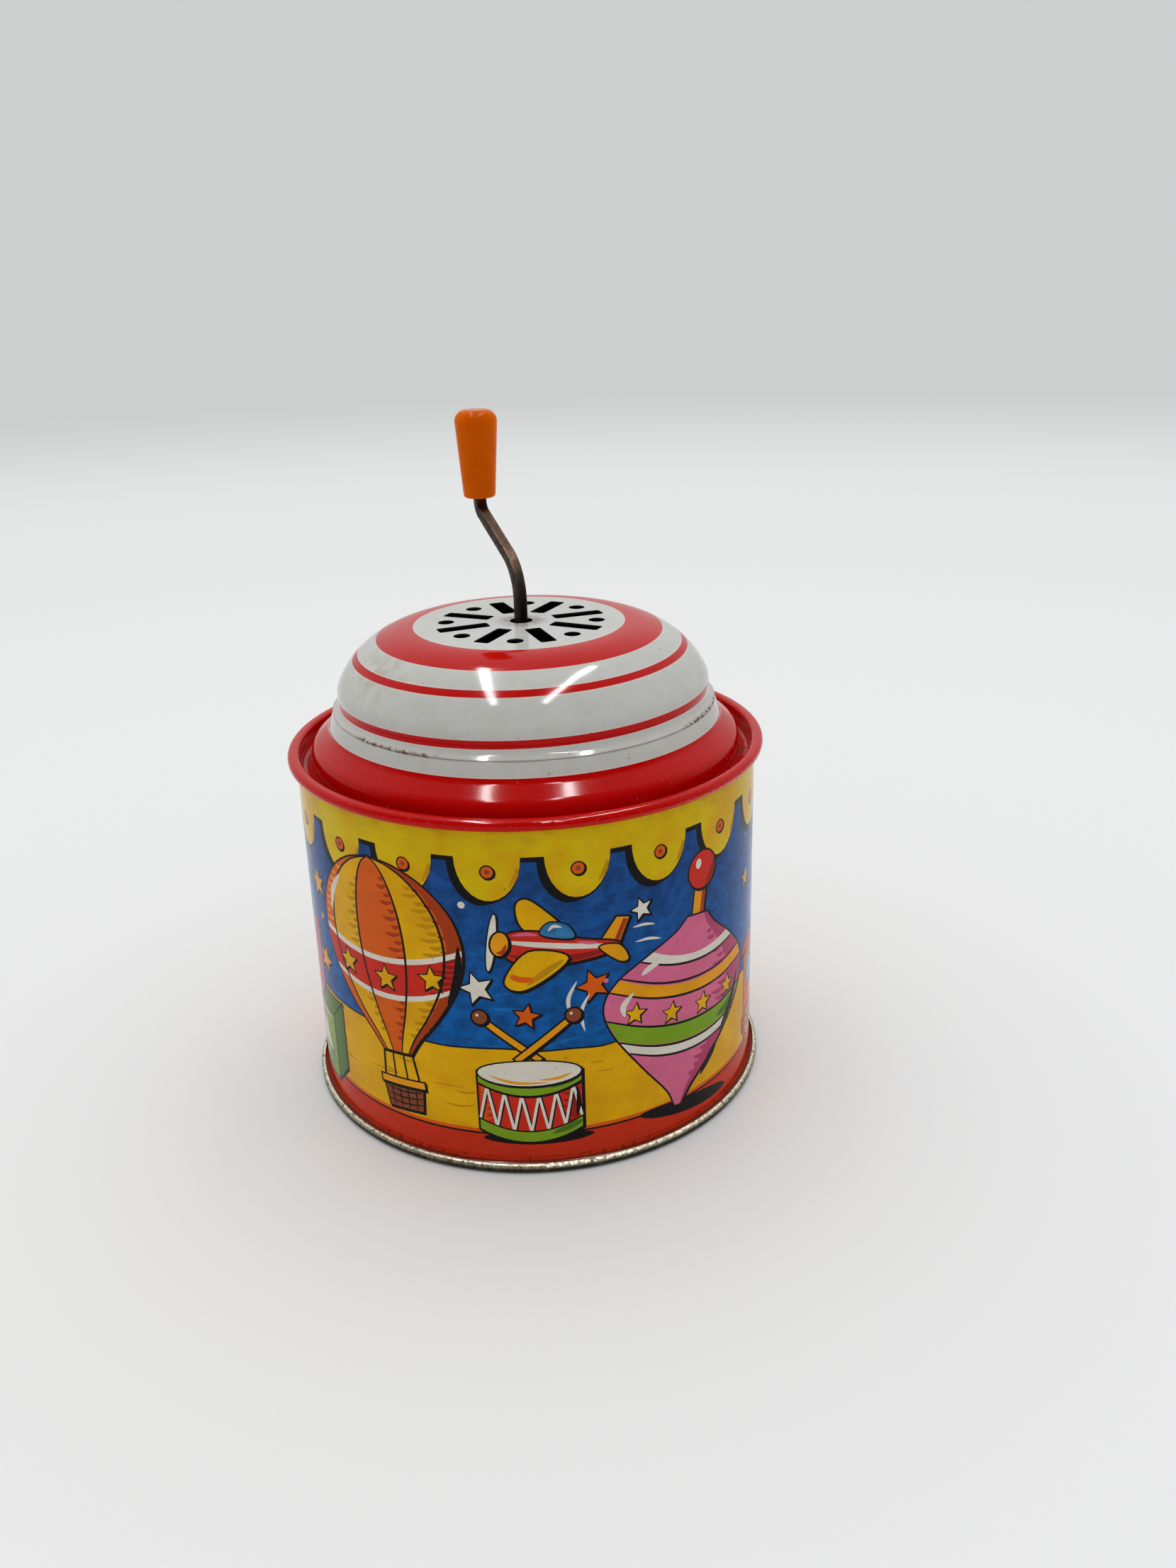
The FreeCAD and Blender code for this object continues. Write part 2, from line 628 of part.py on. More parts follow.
def drum_sleeve():
    """Sleeve with a spiral scatter of pressed bumps, in line with the comb's tines."""
    sleeve = tube(DRUM_R, DRUM_R - DRUM_WALL, drum_z, drum_top_z, drum_axis)
    golden = 180.0 * (3.0 - math.sqrt(5.0))
    bumps = []
    for k in range(TINES * BUMPS_PER_TRACK):
        track_z = comb_z + (k % TINES + 0.5) * tine_pitch
        way = polar(1.0, k * golden)
        foot = drum_axis + way * (DRUM_R - DRUM_WALL / 2) + Vector(0, 0, track_z)
        bumps.append(Part.makeCylinder(BUMP_R, DRUM_WALL / 2 + BUMP_HEIGHT, foot, way))
    return sleeve.fuse(bumps)


# Comb

def comb_screw_heights():
    step = comb_height / COMB_SCREWS
    return [comb_z + step * (k + 0.5) for k in range(COMB_SCREWS)]


def comb_bore(radius, w_low, w_high):
    s = heel_s + HEEL_LENGTH / 2
    return [
        Part.makeCylinder(radius, w_high - w_low, Vector(s, w_low, z), Vector(0, 1, 0))
        for z in comb_screw_heights()
    ]


def comb():
    """Sheet of steel cut into tines that grow shorter towards the top."""
    half = COMB_THICKNESS / 2
    sheet = comb_box(tip_s, heel_end_s, -half, half, comb_z, comb_z + comb_height)
    cuts = comb_bore(SCREW_R + HOLE_GAP, -half, half)
    for k in range(TINES + 1):
        share = min(1.0, k / (TINES - 1))
        length = TINE_LONGEST + (TINE_SHORTEST - TINE_LONGEST) * share
        slit_z = comb_z + k * tine_pitch - TINE_SLIT / 2
        cuts.append(comb_box(tip_s, tip_s + length, -half, half, slit_z, slit_z + TINE_SLIT))
    return comb_to_tin(sheet.cut(cuts))


def comb_bracket():
    near = -COMB_THICKNESS / 2
    far = near - BRACKET_THICKNESS
    foot_top = lower_top_z + BRACKET_THICKNESS
    leg = comb_box(heel_s, heel_end_s, far, near, lower_top_z, comb_z + comb_height)
    foot = comb_box(heel_s, heel_end_s, far - BRACKET_FOOT, far, lower_top_z, foot_top)
    cuts = comb_bore(SCREW_R + THREAD_GAP, far, near)
    for spot in bracket_screw_spots():
        flat = Vector(spot.x, spot.y, 0)
        cuts.append(rod(SCREW_R + HOLE_GAP, lower_top_z, foot_top, flat))
    return comb_to_tin(leg.fuse(foot).removeSplitter().cut(cuts))


def comb_clamp():
    near = COMB_THICKNESS / 2
    far = near + CLAMP_THICKNESS
    strip = comb_box(heel_s, heel_end_s, near, far, comb_z, comb_z + comb_height)
    return comb_to_tin(strip.cut(comb_bore(SCREW_R + HOLE_GAP, near, far)))


def comb_screws():
    screw = slotted_screw(CLAMP_THICKNESS + COMB_THICKNESS + BRACKET_THICKNESS)
    s = heel_s + HEEL_LENGTH / 2
    w = COMB_THICKNESS / 2 + CLAMP_THICKNESS
    screws = [placed(screw, Vector(s, w, z), Vector(0, 1, 0)) for z in comb_screw_heights()]
    return Part.makeCompound([comb_to_tin(one) for one in screws])


def bracket_screws():
    screw = slotted_screw(BRACKET_THICKNESS + PLATE_THICKNESS)
    return Part.makeCompound([comb_to_tin(placed(screw, spot)) for spot in bracket_screw_spots()])


PIECES = [
    body_wall, base_plate, shoulder_ring, dome_cap,
    crank_rod, crank_knob, crank_pinion, crank_collar, collar_screw,
    footstep_bearing, crank_bearing_tube,
    movement_spacers, mounting_screws,
    frame_lower_plate, frame_upper_plate, frame_pillars, pillar_screws,
    drum_arbor, drum_bushes, drum_gear, drum_caps, drum_sleeve,
    comb, comb_bracket, comb_clamp, comb_screws, bracket_screws,
]

os.makedirs("parts", exist_ok=True)
for piece in PIECES:
    piece().exportStep("parts/" + piece.__name__ + ".step")
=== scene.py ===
import random
from functools import partial, reduce
from math import atan2, copysign, cos, pi, radians, sin, tan

import bmesh
import bpy
from mathutils import Matrix, Vector
from mathutils.geometry import delaunay_2d_cdt


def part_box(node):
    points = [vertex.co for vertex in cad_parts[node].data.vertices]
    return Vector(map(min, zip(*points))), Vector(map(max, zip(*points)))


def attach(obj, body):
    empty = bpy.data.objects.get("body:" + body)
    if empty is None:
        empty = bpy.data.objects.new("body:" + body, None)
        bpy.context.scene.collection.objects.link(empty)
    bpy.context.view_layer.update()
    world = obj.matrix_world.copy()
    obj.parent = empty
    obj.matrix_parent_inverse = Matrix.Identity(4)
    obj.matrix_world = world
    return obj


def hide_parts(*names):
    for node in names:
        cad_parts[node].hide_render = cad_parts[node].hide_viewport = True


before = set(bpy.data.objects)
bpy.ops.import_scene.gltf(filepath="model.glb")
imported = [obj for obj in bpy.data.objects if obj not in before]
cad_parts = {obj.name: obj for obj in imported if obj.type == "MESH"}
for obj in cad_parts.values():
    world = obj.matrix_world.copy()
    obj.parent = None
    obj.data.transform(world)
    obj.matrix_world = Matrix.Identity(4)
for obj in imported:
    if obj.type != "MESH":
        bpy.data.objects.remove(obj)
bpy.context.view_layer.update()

# Hand-crank music tin. Sizes are millimetres unless a name says otherwise; Blender's own unit is the metre.

MM = 0.001

# Camera, from the photograph's view
CAMERA_BACK = 278.31
CAMERA_HEIGHT = 173.42
CAMERA_PITCH = radians(21.27)
CAMERA_YAW = radians(2.714)
CAMERA_ROLL = radians(1.605)
CAMERA_LENS = 30.86
CAMERA_REACH = (10.0, 20000.0)

# Can's wall, a sheet that flares out into the base ring
WALL_R = 49.5
SHEET = 0.35
WALL_HIGH = 77.2  # upper end, hidden in the rolled rim
FLARE_R = 1.0
FLARE_TOP = 2.83
FLARE_TURN = FLARE_R * pi / 2
FLANGE_R = 50.65  # lower end, hidden in the base ring
WALL_LOW = FLARE_TOP - FLARE_TURN - (FLANGE_R - WALL_R - FLARE_R)  # measured along the sheet
FLARE_MIDDLE = WALL_R + FLARE_R
FLARE_ROWS = 6
FLARE_LINES = [FLARE_TOP - FLARE_TURN * (1 - k / FLARE_ROWS) for k in range(FLARE_ROWS + 1)]
HALF = pi * WALL_R  # half of the way round
COLUMNS = 156  # straight strips that make up the round wall
CUT_TOLERANCE = 1e-5
END_TOLERANCE = 1e-4
TINY = 1e-6
WELD = 1e-7  # in metres
CUT_FACE = 0.5  # faces that face the sheet's normal by less than this are its cut ends

# Wall's flat map, in shares of its side
MAP_ROW = 0.49  # second half of the print lies this far above the first
MAP_ENDS = (0.985, 0.012)  # start and height of the strip with the sheet's two ends
MAP_INSIDE = (0.986, 0.010)  # and of the inner skin

# Paint on the dome and the shoulder: radii on the dome's upper half, heights below
PAINT_SHIFT = -0.43  # the printed rings sit off centre
PAINT_EDGE = 0.05  # softness of the paint's edges
RING_R = (22.4, 30.33)
LINE_R = (34.37, 35.57)
LOW_LINE = (88.0, 89.8)
LOW_LINE_TILT = 0.0126  # rises to the right
FLANK_TOP = 82.95
FLANK_FADE = 0.3  # half of the height over which the flank's finish changes
OUTLINE = 0.2  # pale edge beside the red
CREASE_R = 41.0  # band's upper edge, where the dome's foot lies on the ring
CREASE_HEIGHT = 86.2
CHANNEL_R = (45.6, 46.4)  # the channel beside the rolled rim starts between these radii
CHANNEL_HEIGHT = (75.6, 74.0)
RIM_R = (49.1, 49.4)  # the rolled rim starts between these radii
DOME_TOP = 102.8
GRILLE_R = (21.0, 20.0)  # the sound holes lie inside these radii
TIN_MIDDLE = (0, 0, 70)
INSIDE_R = (45.5, 45.0)  # where the sheet's inner side is unpainted tin, darkened as painted shade
STEEP = (0.6, 0.4)  # upright part of a normal, from none to all of an upright face

# Stains, dirt, wear and painted shade: spots by radius, degrees and height; pairs run from none to full
STAIN = (33, -58, 98)
STAIN_REACH = 13
CREASE_SHADE = (-0.22, 0.08)  # below and above the crease
CREASE_DIRT = (-0.3, 0.25)
DIRT_SPOTS = ((-40, 15), (66, 15), (150, 20))  # degrees along the crease, and reach
HOLE_RUST_R = (6.5, 2.4)
EVENING = (30, 68)  # the print's blue darkens upwards
UNDER_RIM = (68, 75)
FOOT_RUST = (3.6, 2.4)
FOOT_SHADE = (FLARE_TOP - 0.3, FLARE_TOP - 0.7)
BASE_GRIME_AND_SHADE = (1.95, 1.1)
ROD_BROWN = (DOME_TOP + 9, DOME_TOP + 18)
ROD_DARK = (DOME_TOP + 9, DOME_TOP + 1)
KNOB_GLOW = (5.0, 1.8, 0.2)  # how far red, green and blue light travel in the knob

# Crank rod
ROD_SIZE = 2.4
ROD_EDGE = 0.5  # worn round of the rod's edges
EDGE_POINTS = 5
EDGE_WEAR_AND_SHEEN = 0.25  # share of the lighter wear and sheen paint where the round meets the flat
LOWER_BEND = 10.0
UPPER_BEND = 3.2
BEND_STEPS = 12
ARM_START = 10.5  # dome's top up to the first bend's corner
ARM_RISE = 10.2
SHAFT_TOP = 96.85  # turned shaft below the square rod
SHAFT_FOOT = 8.1
SHAFT_CHAMFER = 0.3
SHAFT_SIDES = 24
PIN_R = 1.1
PIN_LENGTH = 14.0
PIN_HEAD_R = 1.4
PIN_HEAD_HEIGHT = 1.0
PIN_GAP = 0.05  # knob's foot above the pin's shoulder

# Print on the wall, heights
BAND_TOP = 8.3  # red band along the foot
BAND_LINE = 0.45
BAND_EDGE = 0.8  # orange line above it
GROUND_TOP = 28.0  # yellow ground
VALANCE_FOOT = 70.1  # solid part of the valance
SCALLOPS = 18
SCALLOP_DROP = 9.0
SCALLOP_HALF = 0.37  # half width, as a share of the pitch
SCALLOP_FOLD = ((0.9, 0.22), (0.83, 0.44), (0.62, 0.68))
DOT_DROP = 3.0
PEN = 0.42  # width of the black outlines
SHADE_PEN = 0.3  # how much thicker they are below and to the right
SEAM_STRIP = 0.9  # bare edge beside the side seam
SEAM_CLEAR = 8.0  # brush marks stay this far from it
LAP_EDGE = (0.42, 0.58)  # shadow along the lap's free edge
SKY_STROKES = 120
SKY_SPAN = (29, 66)
GROUND_STROKES = 70
GROUND_SPAN = (11, 25)
HORIZON_POINTS = 48
HORIZON_LINE = 0.4
CONFETTI = 44
CONFETTI_SPAN = (34, 60)
CONFETTI_REACH = 150

INKS = {
    "black": (20, 17, 17),
    "blue": (8, 86, 156),
    "sky": (14, 104, 172),
    "cyan": (70, 160, 205),
    "yellow": (228, 172, 1),
    "ochre": (190, 136, 4),
    "valance": (216, 184, 1),
    "orange": (216, 92, 16),
    "sienna": (166, 60, 16),
    "amber": (234, 156, 20),
    "pink": (213, 104, 140),
    "rose": (176, 64, 104),
    "red": (204, 44, 28),
    "maroon": (146, 28, 22),
    "band": (200, 48, 20),
    "green": (124, 160, 30),
    "leaf": (78, 112, 28),
    "white": (222, 216, 202),
    "brown": (138, 70, 38),
    "tin": (170, 166, 156),
}

# Colours of the finishes; a pair holds the two ends of a cloudy one
TONES = {
    "lacquer_white": ((199, 200, 195), (212, 213, 208)),
    "lacquer_red": ((190, 3, 2), (202, 8, 5)),
    "seam_tin": ((120, 113, 98), (206, 200, 186)),
    "base_tin": ((140, 133, 114), (196, 190, 170)),
    "rod_steel": ((32, 27, 21), (60, 54, 46)),
    "knob_orange": ((200, 86, 0), (224, 108, 0)),
    "brass": ((142, 104, 44), (196, 154, 78)),
    "frame_steel": ((128, 126, 122), (178, 176, 170)),
    "screw_steel": ((112, 110, 108), (168, 166, 162)),
    "comb_steel": ((86, 90, 98), (134, 138, 146)),
}
COLOURS = {
    "stain": (160, 148, 108),
    "pale_edge": (232, 216, 208),
    "scuff": (206, 96, 90),
    "speck": (84, 72, 58),
    "rust": (104, 70, 36),
    "crease": (128, 126, 122),
    "dirt": (132, 92, 50),
    "crumb": (70, 46, 30),
    "unpainted_in_shade": (44, 40, 36),
    "evening": (26, 68, 130),
    "warm": (212, 150, 0),
    "smudge_and_rim_shade": (126, 112, 26),
    "fleck": (70, 52, 40),
    "lap": (46, 40, 34),
    "foot_rust_and_shade": (70, 28, 18),
    "grime_and_shade": (36, 31, 23),
    "rod_spot": (66, 36, 14),
    "rod_brown": (46, 25, 8),
    "rod_dark": (8, 6, 3),
    "rubbed_and_sheen": (98, 90, 80),
    "nick": (130, 40, 10),
    "floor": (243, 244, 244),
    "horizon": (231, 232, 232),
    "backdrop": (205, 206, 206),
    "light": (255, 255, 255),
}

# Stage and light
FLOOR_R = 3000.0
FLOOR_SIDES = 64
FLOOR_FADE = (260.0, 650.0)  # floor's own shade turns into the horizon's
BACKDROP_FADE = (650.0, 1700.0)  # and that into the backdrop's
SKY_LOW = 0.22  # soft light at the horizon, as a share of white
SKY_RISE = 1.05  # added straight above
SKY_BACK = 0.38  # more from behind the object, less from the front
PALE_FRONT = 0.03  # share of the backdrop that shiny pieces mirror from the front
PALE_FADE = (-0.45, 0.3)  # from there to the whole of it, by how far back it lies
PALE_RISE = 1.3  # added straight above
STRIP_WIDTH = 45.0
STRIP_HEIGHT = 1000.0
STRIP_POWER = 14.0
STRIPS = {  # ends of each lamp, across and back
    "strip_left": ((-168, 463), (-261, -454)),
    "strip_right": ((351, 396), (170, -473)),
}


def linear(colour):
    """sRGB numbers, 0 to 255, as linear red, green, blue and alpha."""
    shares = [value / 255 for value in colour]
    return tuple(s / 12.92 if s < 0.04045 else ((s + 0.055) / 1.055) ** 2.4 for s in shares) + (1.0,)


def turns(count):
    """Angles of points spread evenly round a circle."""
    return [2 * pi * k / count for k in range(count)]


def polar(radius, degrees, z):
    """Place on a circle about the tin's axis; 0 degrees is the front, to the right is positive."""
    angle = radians(degrees)
    return Vector((radius * sin(angle), -radius * cos(angle), z))


# Materials

class Nodes:
    """Short calls that add nodes to a tree."""

    def __init__(self, tree):
        self.tree = tree
        self.tree.nodes.clear()

    def feed(self, socket, value):
        """Links a socket to another one or sets it to a number or to a colour's name."""
        if isinstance(value, bpy.types.NodeSocket):
            self.tree.links.new(value, socket)
        else:
            socket.default_value = linear(COLOURS[value]) if isinstance(value, str) else value

    def node(self, kind, inputs=None, **settings):
        made = self.tree.nodes.new("ShaderNode" + kind)
        for name, value in settings.items():
            setattr(made, name, value)
        for socket, value in (inputs or {}).items():
            self.feed(made.inputs[socket], value)
        return made

    def math(self, operation, first, second=0.0):
        return self.node("Math", {0: first, 1: second}, operation=operation).outputs[0]

    def vector(self, operation, inputs):
        return self.node("VectorMath", inputs, operation=operation).outputs

    def split(self, vector):
        return self.node("SeparateXYZ", {0: vector}).outputs

    def times(self, *values):
        return reduce(partial(self.math, "MULTIPLY"), values)

    def plus(self, *values):
        return reduce(partial(self.math, "ADD"), values)

    def most(self, *values):
        return reduce(partial(self.math, "MAXIMUM"), values)

    def ramp(self, value, low, high, start=0.0, end=1.0):
        """Smooth step from start, at low, to end, at high."""
        inputs = {"Value": value, "From Min": low, "From Max": high, "To Min": start, "To Max": end}
        return self.node("MapRange", inputs, interpolation_type="SMOOTHSTEP").outputs["Result"]

    def between(self, value, low, high, edge=PAINT_EDGE):
        rise = self.ramp(value, low - edge, low + edge)
        fall = self.ramp(value, high + edge, high - edge)
        return self.times(rise, fall)

    def blend(self, share, under, over):
        """Mixes two colours, which are this node's inputs 6 and 7 and its output 2."""
        return self.node("Mix", {0: share, 6: under, 7: over}, data_type="RGBA").outputs[2]

    def shade(self, colour, strength):
        """Colour times a number."""
        return self.vector("SCALE", {0: colour, "Scale": strength})["Vector"]


class Finish(Nodes):
    """One material: a Principled shader, the piece's own place in millimetres and its colour so far."""

    def __init__(self, name, **values):
        self.material = bpy.data.materials.new(name)
        self.material.use_nodes = True
        super().__init__(self.material.node_tree)
        self.shader = self.node("BsdfPrincipled")
        self.output = self.node("OutputMaterial", {"Surface": self.shader.outputs["BSDF"]})
        own = self.node("TexCoord").outputs
        self.normal = own["Normal"]
        self.place = self.vector("SCALE", {0: own["Object"], "Scale": 1 / MM})["Vector"]
        self.x, self.y, self.z = self.split(self.place)
        for socket, value in values.items():
            self.set(socket.replace("_", " "), value)

    def set(self, socket, value):
        self.feed(self.shader.inputs[socket], value)

    def tone(self, name, share):
        """Cloudy colour: between the two ends of a tone."""
        low, high = TONES[name]
        return self.blend(share, linear(low), linear(high))

    def coat(self, colour, *shares):
        """Lays a colour over the one so far; its shares are multiplied."""
        self.colour = self.blend(self.times(*shares), self.colour, colour)

    def done(self):
        self.set("Base Color", self.colour)
        return self.material

    def noise(self, size, detail=2.0, stretch=(1, 1, 1), shift=0.0):
        """Noise from 0 to 1 with features of about that size; stretch draws them out along an axis."""
        scale = [1 / (size * s) for s in stretch]
        inputs = {"Vector": self.place, "Location": [shift] * 3, "Scale": scale}
        moved = self.node("Mapping", inputs).outputs["Vector"]
        return self.node("TexNoise", {"Vector": moved, "Scale": 1.0, "Detail": detail}).outputs["Fac"]

    def flecks(self, size, low, high, start=0.0, end=1.0, **noise):
        """Noise stretched from start, at low and under it, to end: patches of about that size."""
        return self.ramp(self.noise(size, **noise), low, high, start, end)

    def radius(self, shift=0.0):
        across = self.math("SUBTRACT", self.x, shift)
        return self.math("SQRT", self.plus(self.times(across, across), self.times(self.y, self.y)))

    def near(self, spot, reach):
        """1 at a spot, falling to 0 at its reach."""
        return self.ramp(self.vector("DISTANCE", {0: self.place, 1: spot})["Value"], reach, 0.0)

    def turned_from(self, middle):
        """Above 0 where the surface faces away from a middle point, below 0 where it faces it."""
        away = self.vector("SUBTRACT", {0: self.place, 1: middle})["Vector"]
        return self.vector("DOT_PRODUCT", {0: away, 1: self.normal})["Value"]

    def steep(self):
        """1 on upright faces."""
        return self.ramp(self.math("ABSOLUTE", self.split(self.normal)["Z"]), *STEEP)

    def bump(self, height, strength, depth):
        """depth is the height's full range in millimetres."""
        inputs = {"Height": height, "Strength": strength, "Distance": depth * MM}
        self.set("Normal", self.node("Bump", inputs).outputs["Normal"])


def red_bands(paint, margin):
    """Where the red paint lies, widened by a margin."""
    radius = paint.radius(PAINT_SHIFT)
    level = paint.math("SUBTRACT", paint.z, paint.times(paint.x, LOW_LINE_TILT))
    lines = ((radius, RING_R), (radius, LINE_R), (level, LOW_LINE))
    bands = [paint.between(value, low - margin, high + margin) for value, (low, high) in lines]
    flank = FLANK_TOP + margin
    return paint.most(*bands, paint.ramp(paint.z, flank + PAINT_EDGE, flank - PAINT_EDGE))


def wear_lacquer(paint, radius, on_flank):
    """Scuffs on the rim, lint on the flank, specks, scratches and rust by the hole and in the channel."""
    scuffs = paint.times(paint.ramp(radius, *RIM_R), paint.flecks(0.6, 0.6, 0.74, detail=5), 0.3)
    threads = paint.flecks(0.25, 0.72, 0.77, detail=1, stretch=(3, 12, 4), shift=37)
    paint.coat("scuff", paint.most(scuffs, paint.times(on_flank, threads, 0.35)))
    patch = paint.flecks(14, 0.42, 0.6, shift=7)
    specks = paint.times(paint.flecks(0.7, 0.72, 0.77, detail=1, shift=11), patch, 0.7)
    scratches = paint.flecks(0.3, 0.76, 0.79, detail=1, stretch=(14, 3, 5), shift=23)
    paint.coat("speck", paint.most(specks, paint.times(scratches, 0.35)))
    spots = paint.most(0.4, paint.flecks(1.2, 0.34, 0.58, detail=4, shift=27))
    by_hole = paint.times(paint.ramp(radius, *HOLE_RUST_R), spots)
    in_channel = paint.times(paint.ramp(paint.z, *CHANNEL_HEIGHT), paint.ramp(radius, *CHANNEL_R))
    dust = paint.times(in_channel, paint.flecks(3.0, 0.46, 0.66, detail=5, shift=31))
    paint.coat("rust", paint.most(by_hole, dust), 0.7)


def shade_and_dirt_in_crease(paint):
    """Shade and dirt under the dome's foot; gives the places of the crumbs."""
    crease, beside = (
        paint.between(paint.z, CREASE_HEIGHT + low, CREASE_HEIGHT + high, edge)
        for (low, high), edge in ((CREASE_SHADE, 0.1), (CREASE_DIRT, 0.25))
    )
    # Grey line along the crease: painted shade under the dome's foot.
    paint.coat("crease", crease, 0.5)
    spots = [(polar(CREASE_R, turn, CREASE_HEIGHT), reach) for turn, reach in DIRT_SPOTS]
    dirty = paint.ramp(paint.most(*(paint.near(*spot) for spot in spots)), 0.05, 0.4)
    paint.coat("dirt", beside, dirty, paint.flecks(1.5, 0.38, 0.6, detail=5, shift=29), 0.8)
    crumbs = paint.times(beside, dirty, paint.flecks(0.8, 0.5, 0.58, detail=3, shift=9))
    paint.coat("crumb", crumbs)
    return crumbs


def band_lacquer():
    """White lacquer with red bands, stains, specks, dirt and painted shade in the crease, and painted shade
    on its inner side and the holes' cut edges.
    """
    paint = Finish("band_lacquer", Specular_IOR_Level=0.12)
    radius = paint.radius()
    on_flank = paint.ramp(paint.z, FLANK_TOP + FLANK_FADE, FLANK_TOP - FLANK_FADE)
    paint.colour = paint.tone("lacquer_white", paint.noise(25, 3))
    stained = paint.plus(0.08, paint.times(paint.near(polar(*STAIN), STAIN_REACH), 0.35))
    paint.coat("stain", stained, paint.flecks(3, 0.36, 0.64, detail=6, shift=3))
    paint.coat("pale_edge", red_bands(paint, OUTLINE), 0.6)
    paint.coat(paint.tone("lacquer_red", paint.noise(12, 3, shift=5)), red_bands(paint, 0.0))
    wear_lacquer(paint, radius, on_flank)
    crumbs = shade_and_dirt_in_crease(paint)
    # Inner side and the holes' cut edges: unpainted tin, darkened to near black as painted shade.
    inward = paint.ramp(paint.turned_from(TIN_MIDDLE), 1.0, -1.0)
    inside = paint.times(inward, paint.ramp(radius, *INSIDE_R))
    cut_edges = paint.times(paint.steep(), paint.ramp(radius, *GRILLE_R))
    paint.coat("unpainted_in_shade", paint.most(inside, cut_edges))
    dull = paint.flecks(4, 0.4, 0.7, 0.09, 0.14, detail=5, shift=13)
    paint.set("Roughness", paint.most(dull, paint.times(on_flank, 0.12), paint.times(crumbs, 0.8)))
    grit = paint.times(paint.noise(0.7, 3, shift=14), paint.plus(0.1, paint.times(on_flank, 0.45)))
    paint.bump(paint.plus(paint.noise(3.0, 2, shift=4), grit), 0.1, 0.05)
    return paint.done()


def brushwork(tin):
    """Grain, washes, mottled blue that darkens upwards and warm patches on the yellow."""
    red, green, blue = tin.node("SeparateColor", {0: tin.colour}).outputs
    blue_only = tin.ramp(tin.math("SUBTRACT", blue, red), 0.1, 0.2)
    tin.coat("evening", blue_only, tin.ramp(tin.z, *EVENING), 0.85)
    grain = tin.flecks(0.3, 0.3, 0.7, 0.94, 1.06, detail=3)
    wash = tin.flecks(5, 0.3, 0.7, 0.95, 1.05, detail=4, stretch=(1.6, 1.6, 0.7))
    brushed = tin.flecks(2.2, 0.3, 0.7, 0.7, 1.24, detail=7, stretch=(1.2, 1.2, 1.0), shift=6)
    plain = tin.times(grain, wash)
    shades = [tin.shade(tin.colour, share) for share in (plain, tin.times(plain, brushed))]
    tin.colour = tin.blend(blue_only, *shades)
    limits = ((red, 0.45, 0.55), (green, 0.2, 0.32), (blue, 0.06, 0.02))
    yellow_only = tin.times(*(tin.ramp(*limit) for limit in limits))
    tin.coat("warm", yellow_only, tin.flecks(9, 0.42, 0.66, detail=5, shift=33), 0.6)


def printed_tin():
    """Lithographed, varnished tinplate: the ink comes with the mesh, brushwork and wear from noise, and
    painted shade at the foot, under the rim and along the lap.
    """
    tin = Finish("printed_tin", Specular_IOR_Level=0.085)
    tin.colour = tin.node("VertexColor", layer_name="ink").outputs["Color"]
    brushwork(tin)
    # Olive patches towards the top: smudges, and painted shade under the rim.
    rim_shade_patches = tin.flecks(2.6, 0.5, 0.72, detail=5, stretch=(1.5, 1.5, 0.7))
    tin.coat("smudge_and_rim_shade", rim_shade_patches, tin.ramp(tin.z, *UNDER_RIM), 0.25)
    tin.coat("fleck", tin.flecks(0.8, 0.76, 0.8, detail=1, shift=15), 0.5)
    behind = tin.ramp(tin.y, 0, 1)
    seam = tin.times(behind, tin.between(tin.x, -SEAM_STRIP, SEAM_STRIP, 0.04))
    tin.coat(tin.tone("seam_tin", tin.noise(0.6, 4, stretch=(1, 1, 5))), seam)
    # Painted shadow along the lap's free edge.
    tin.coat("lap", behind, tin.between(tin.x, *LAP_EDGE, 0.05), 0.85)
    tin.set("Metallic", tin.times(seam, 0.85))
    # Darker at the flare by the base ring: painted shade, with rust crumbs above it.
    shade = tin.times(tin.ramp(tin.z, *FOOT_SHADE), 0.75)
    crumbs = tin.flecks(1.3, 0.54, 0.66, detail=4, shift=21)
    tin.coat("foot_rust_and_shade", tin.most(shade, tin.times(tin.ramp(tin.z, *FOOT_RUST), crumbs, 0.85)))
    tin.set("Roughness", tin.flecks(6, 0.35, 0.7, 0.12, 0.2, detail=4, shift=17))
    tin.bump(tin.noise(4.0, 2, shift=19), 0.1, 0.04)
    return tin.done()


def bare_tin():
    """Tinned steel: bright above, grimy and darkened towards the floor as painted shade, with fine upright
    scratches and rust crumbs.
    """
    tin = Finish("bare_tin", Metallic=1.0)
    streaks = tin.noise(0.5, 4, stretch=(1, 1, 5))
    tin.colour = tin.tone("base_tin", tin.ramp(streaks, 0.3, 0.7))
    cloudy = tin.flecks(2.5, 0.2, 0.5, 0.75, 1.0, detail=4, shift=12)
    # Darker towards the floor: grime, and painted shade where the ring turns under.
    grime_and_shade = tin.times(tin.ramp(tin.z, *BASE_GRIME_AND_SHADE), cloudy, 0.95)
    crumbs = tin.times(tin.flecks(0.9, 0.55, 0.64, detail=5, shift=8), 0.7)
    dark = tin.most(grime_and_shade, crumbs)
    tin.coat("grime_and_shade", dark)
    scratched = tin.ramp(streaks, 0.3, 0.7, 0.62, 0.48)
    tin.set("Roughness", tin.most(scratched, tin.times(dark, 0.6)))
    tin.bump(tin.noise(0.8, 4, shift=14), 0.25, 0.05)
    return tin.done()


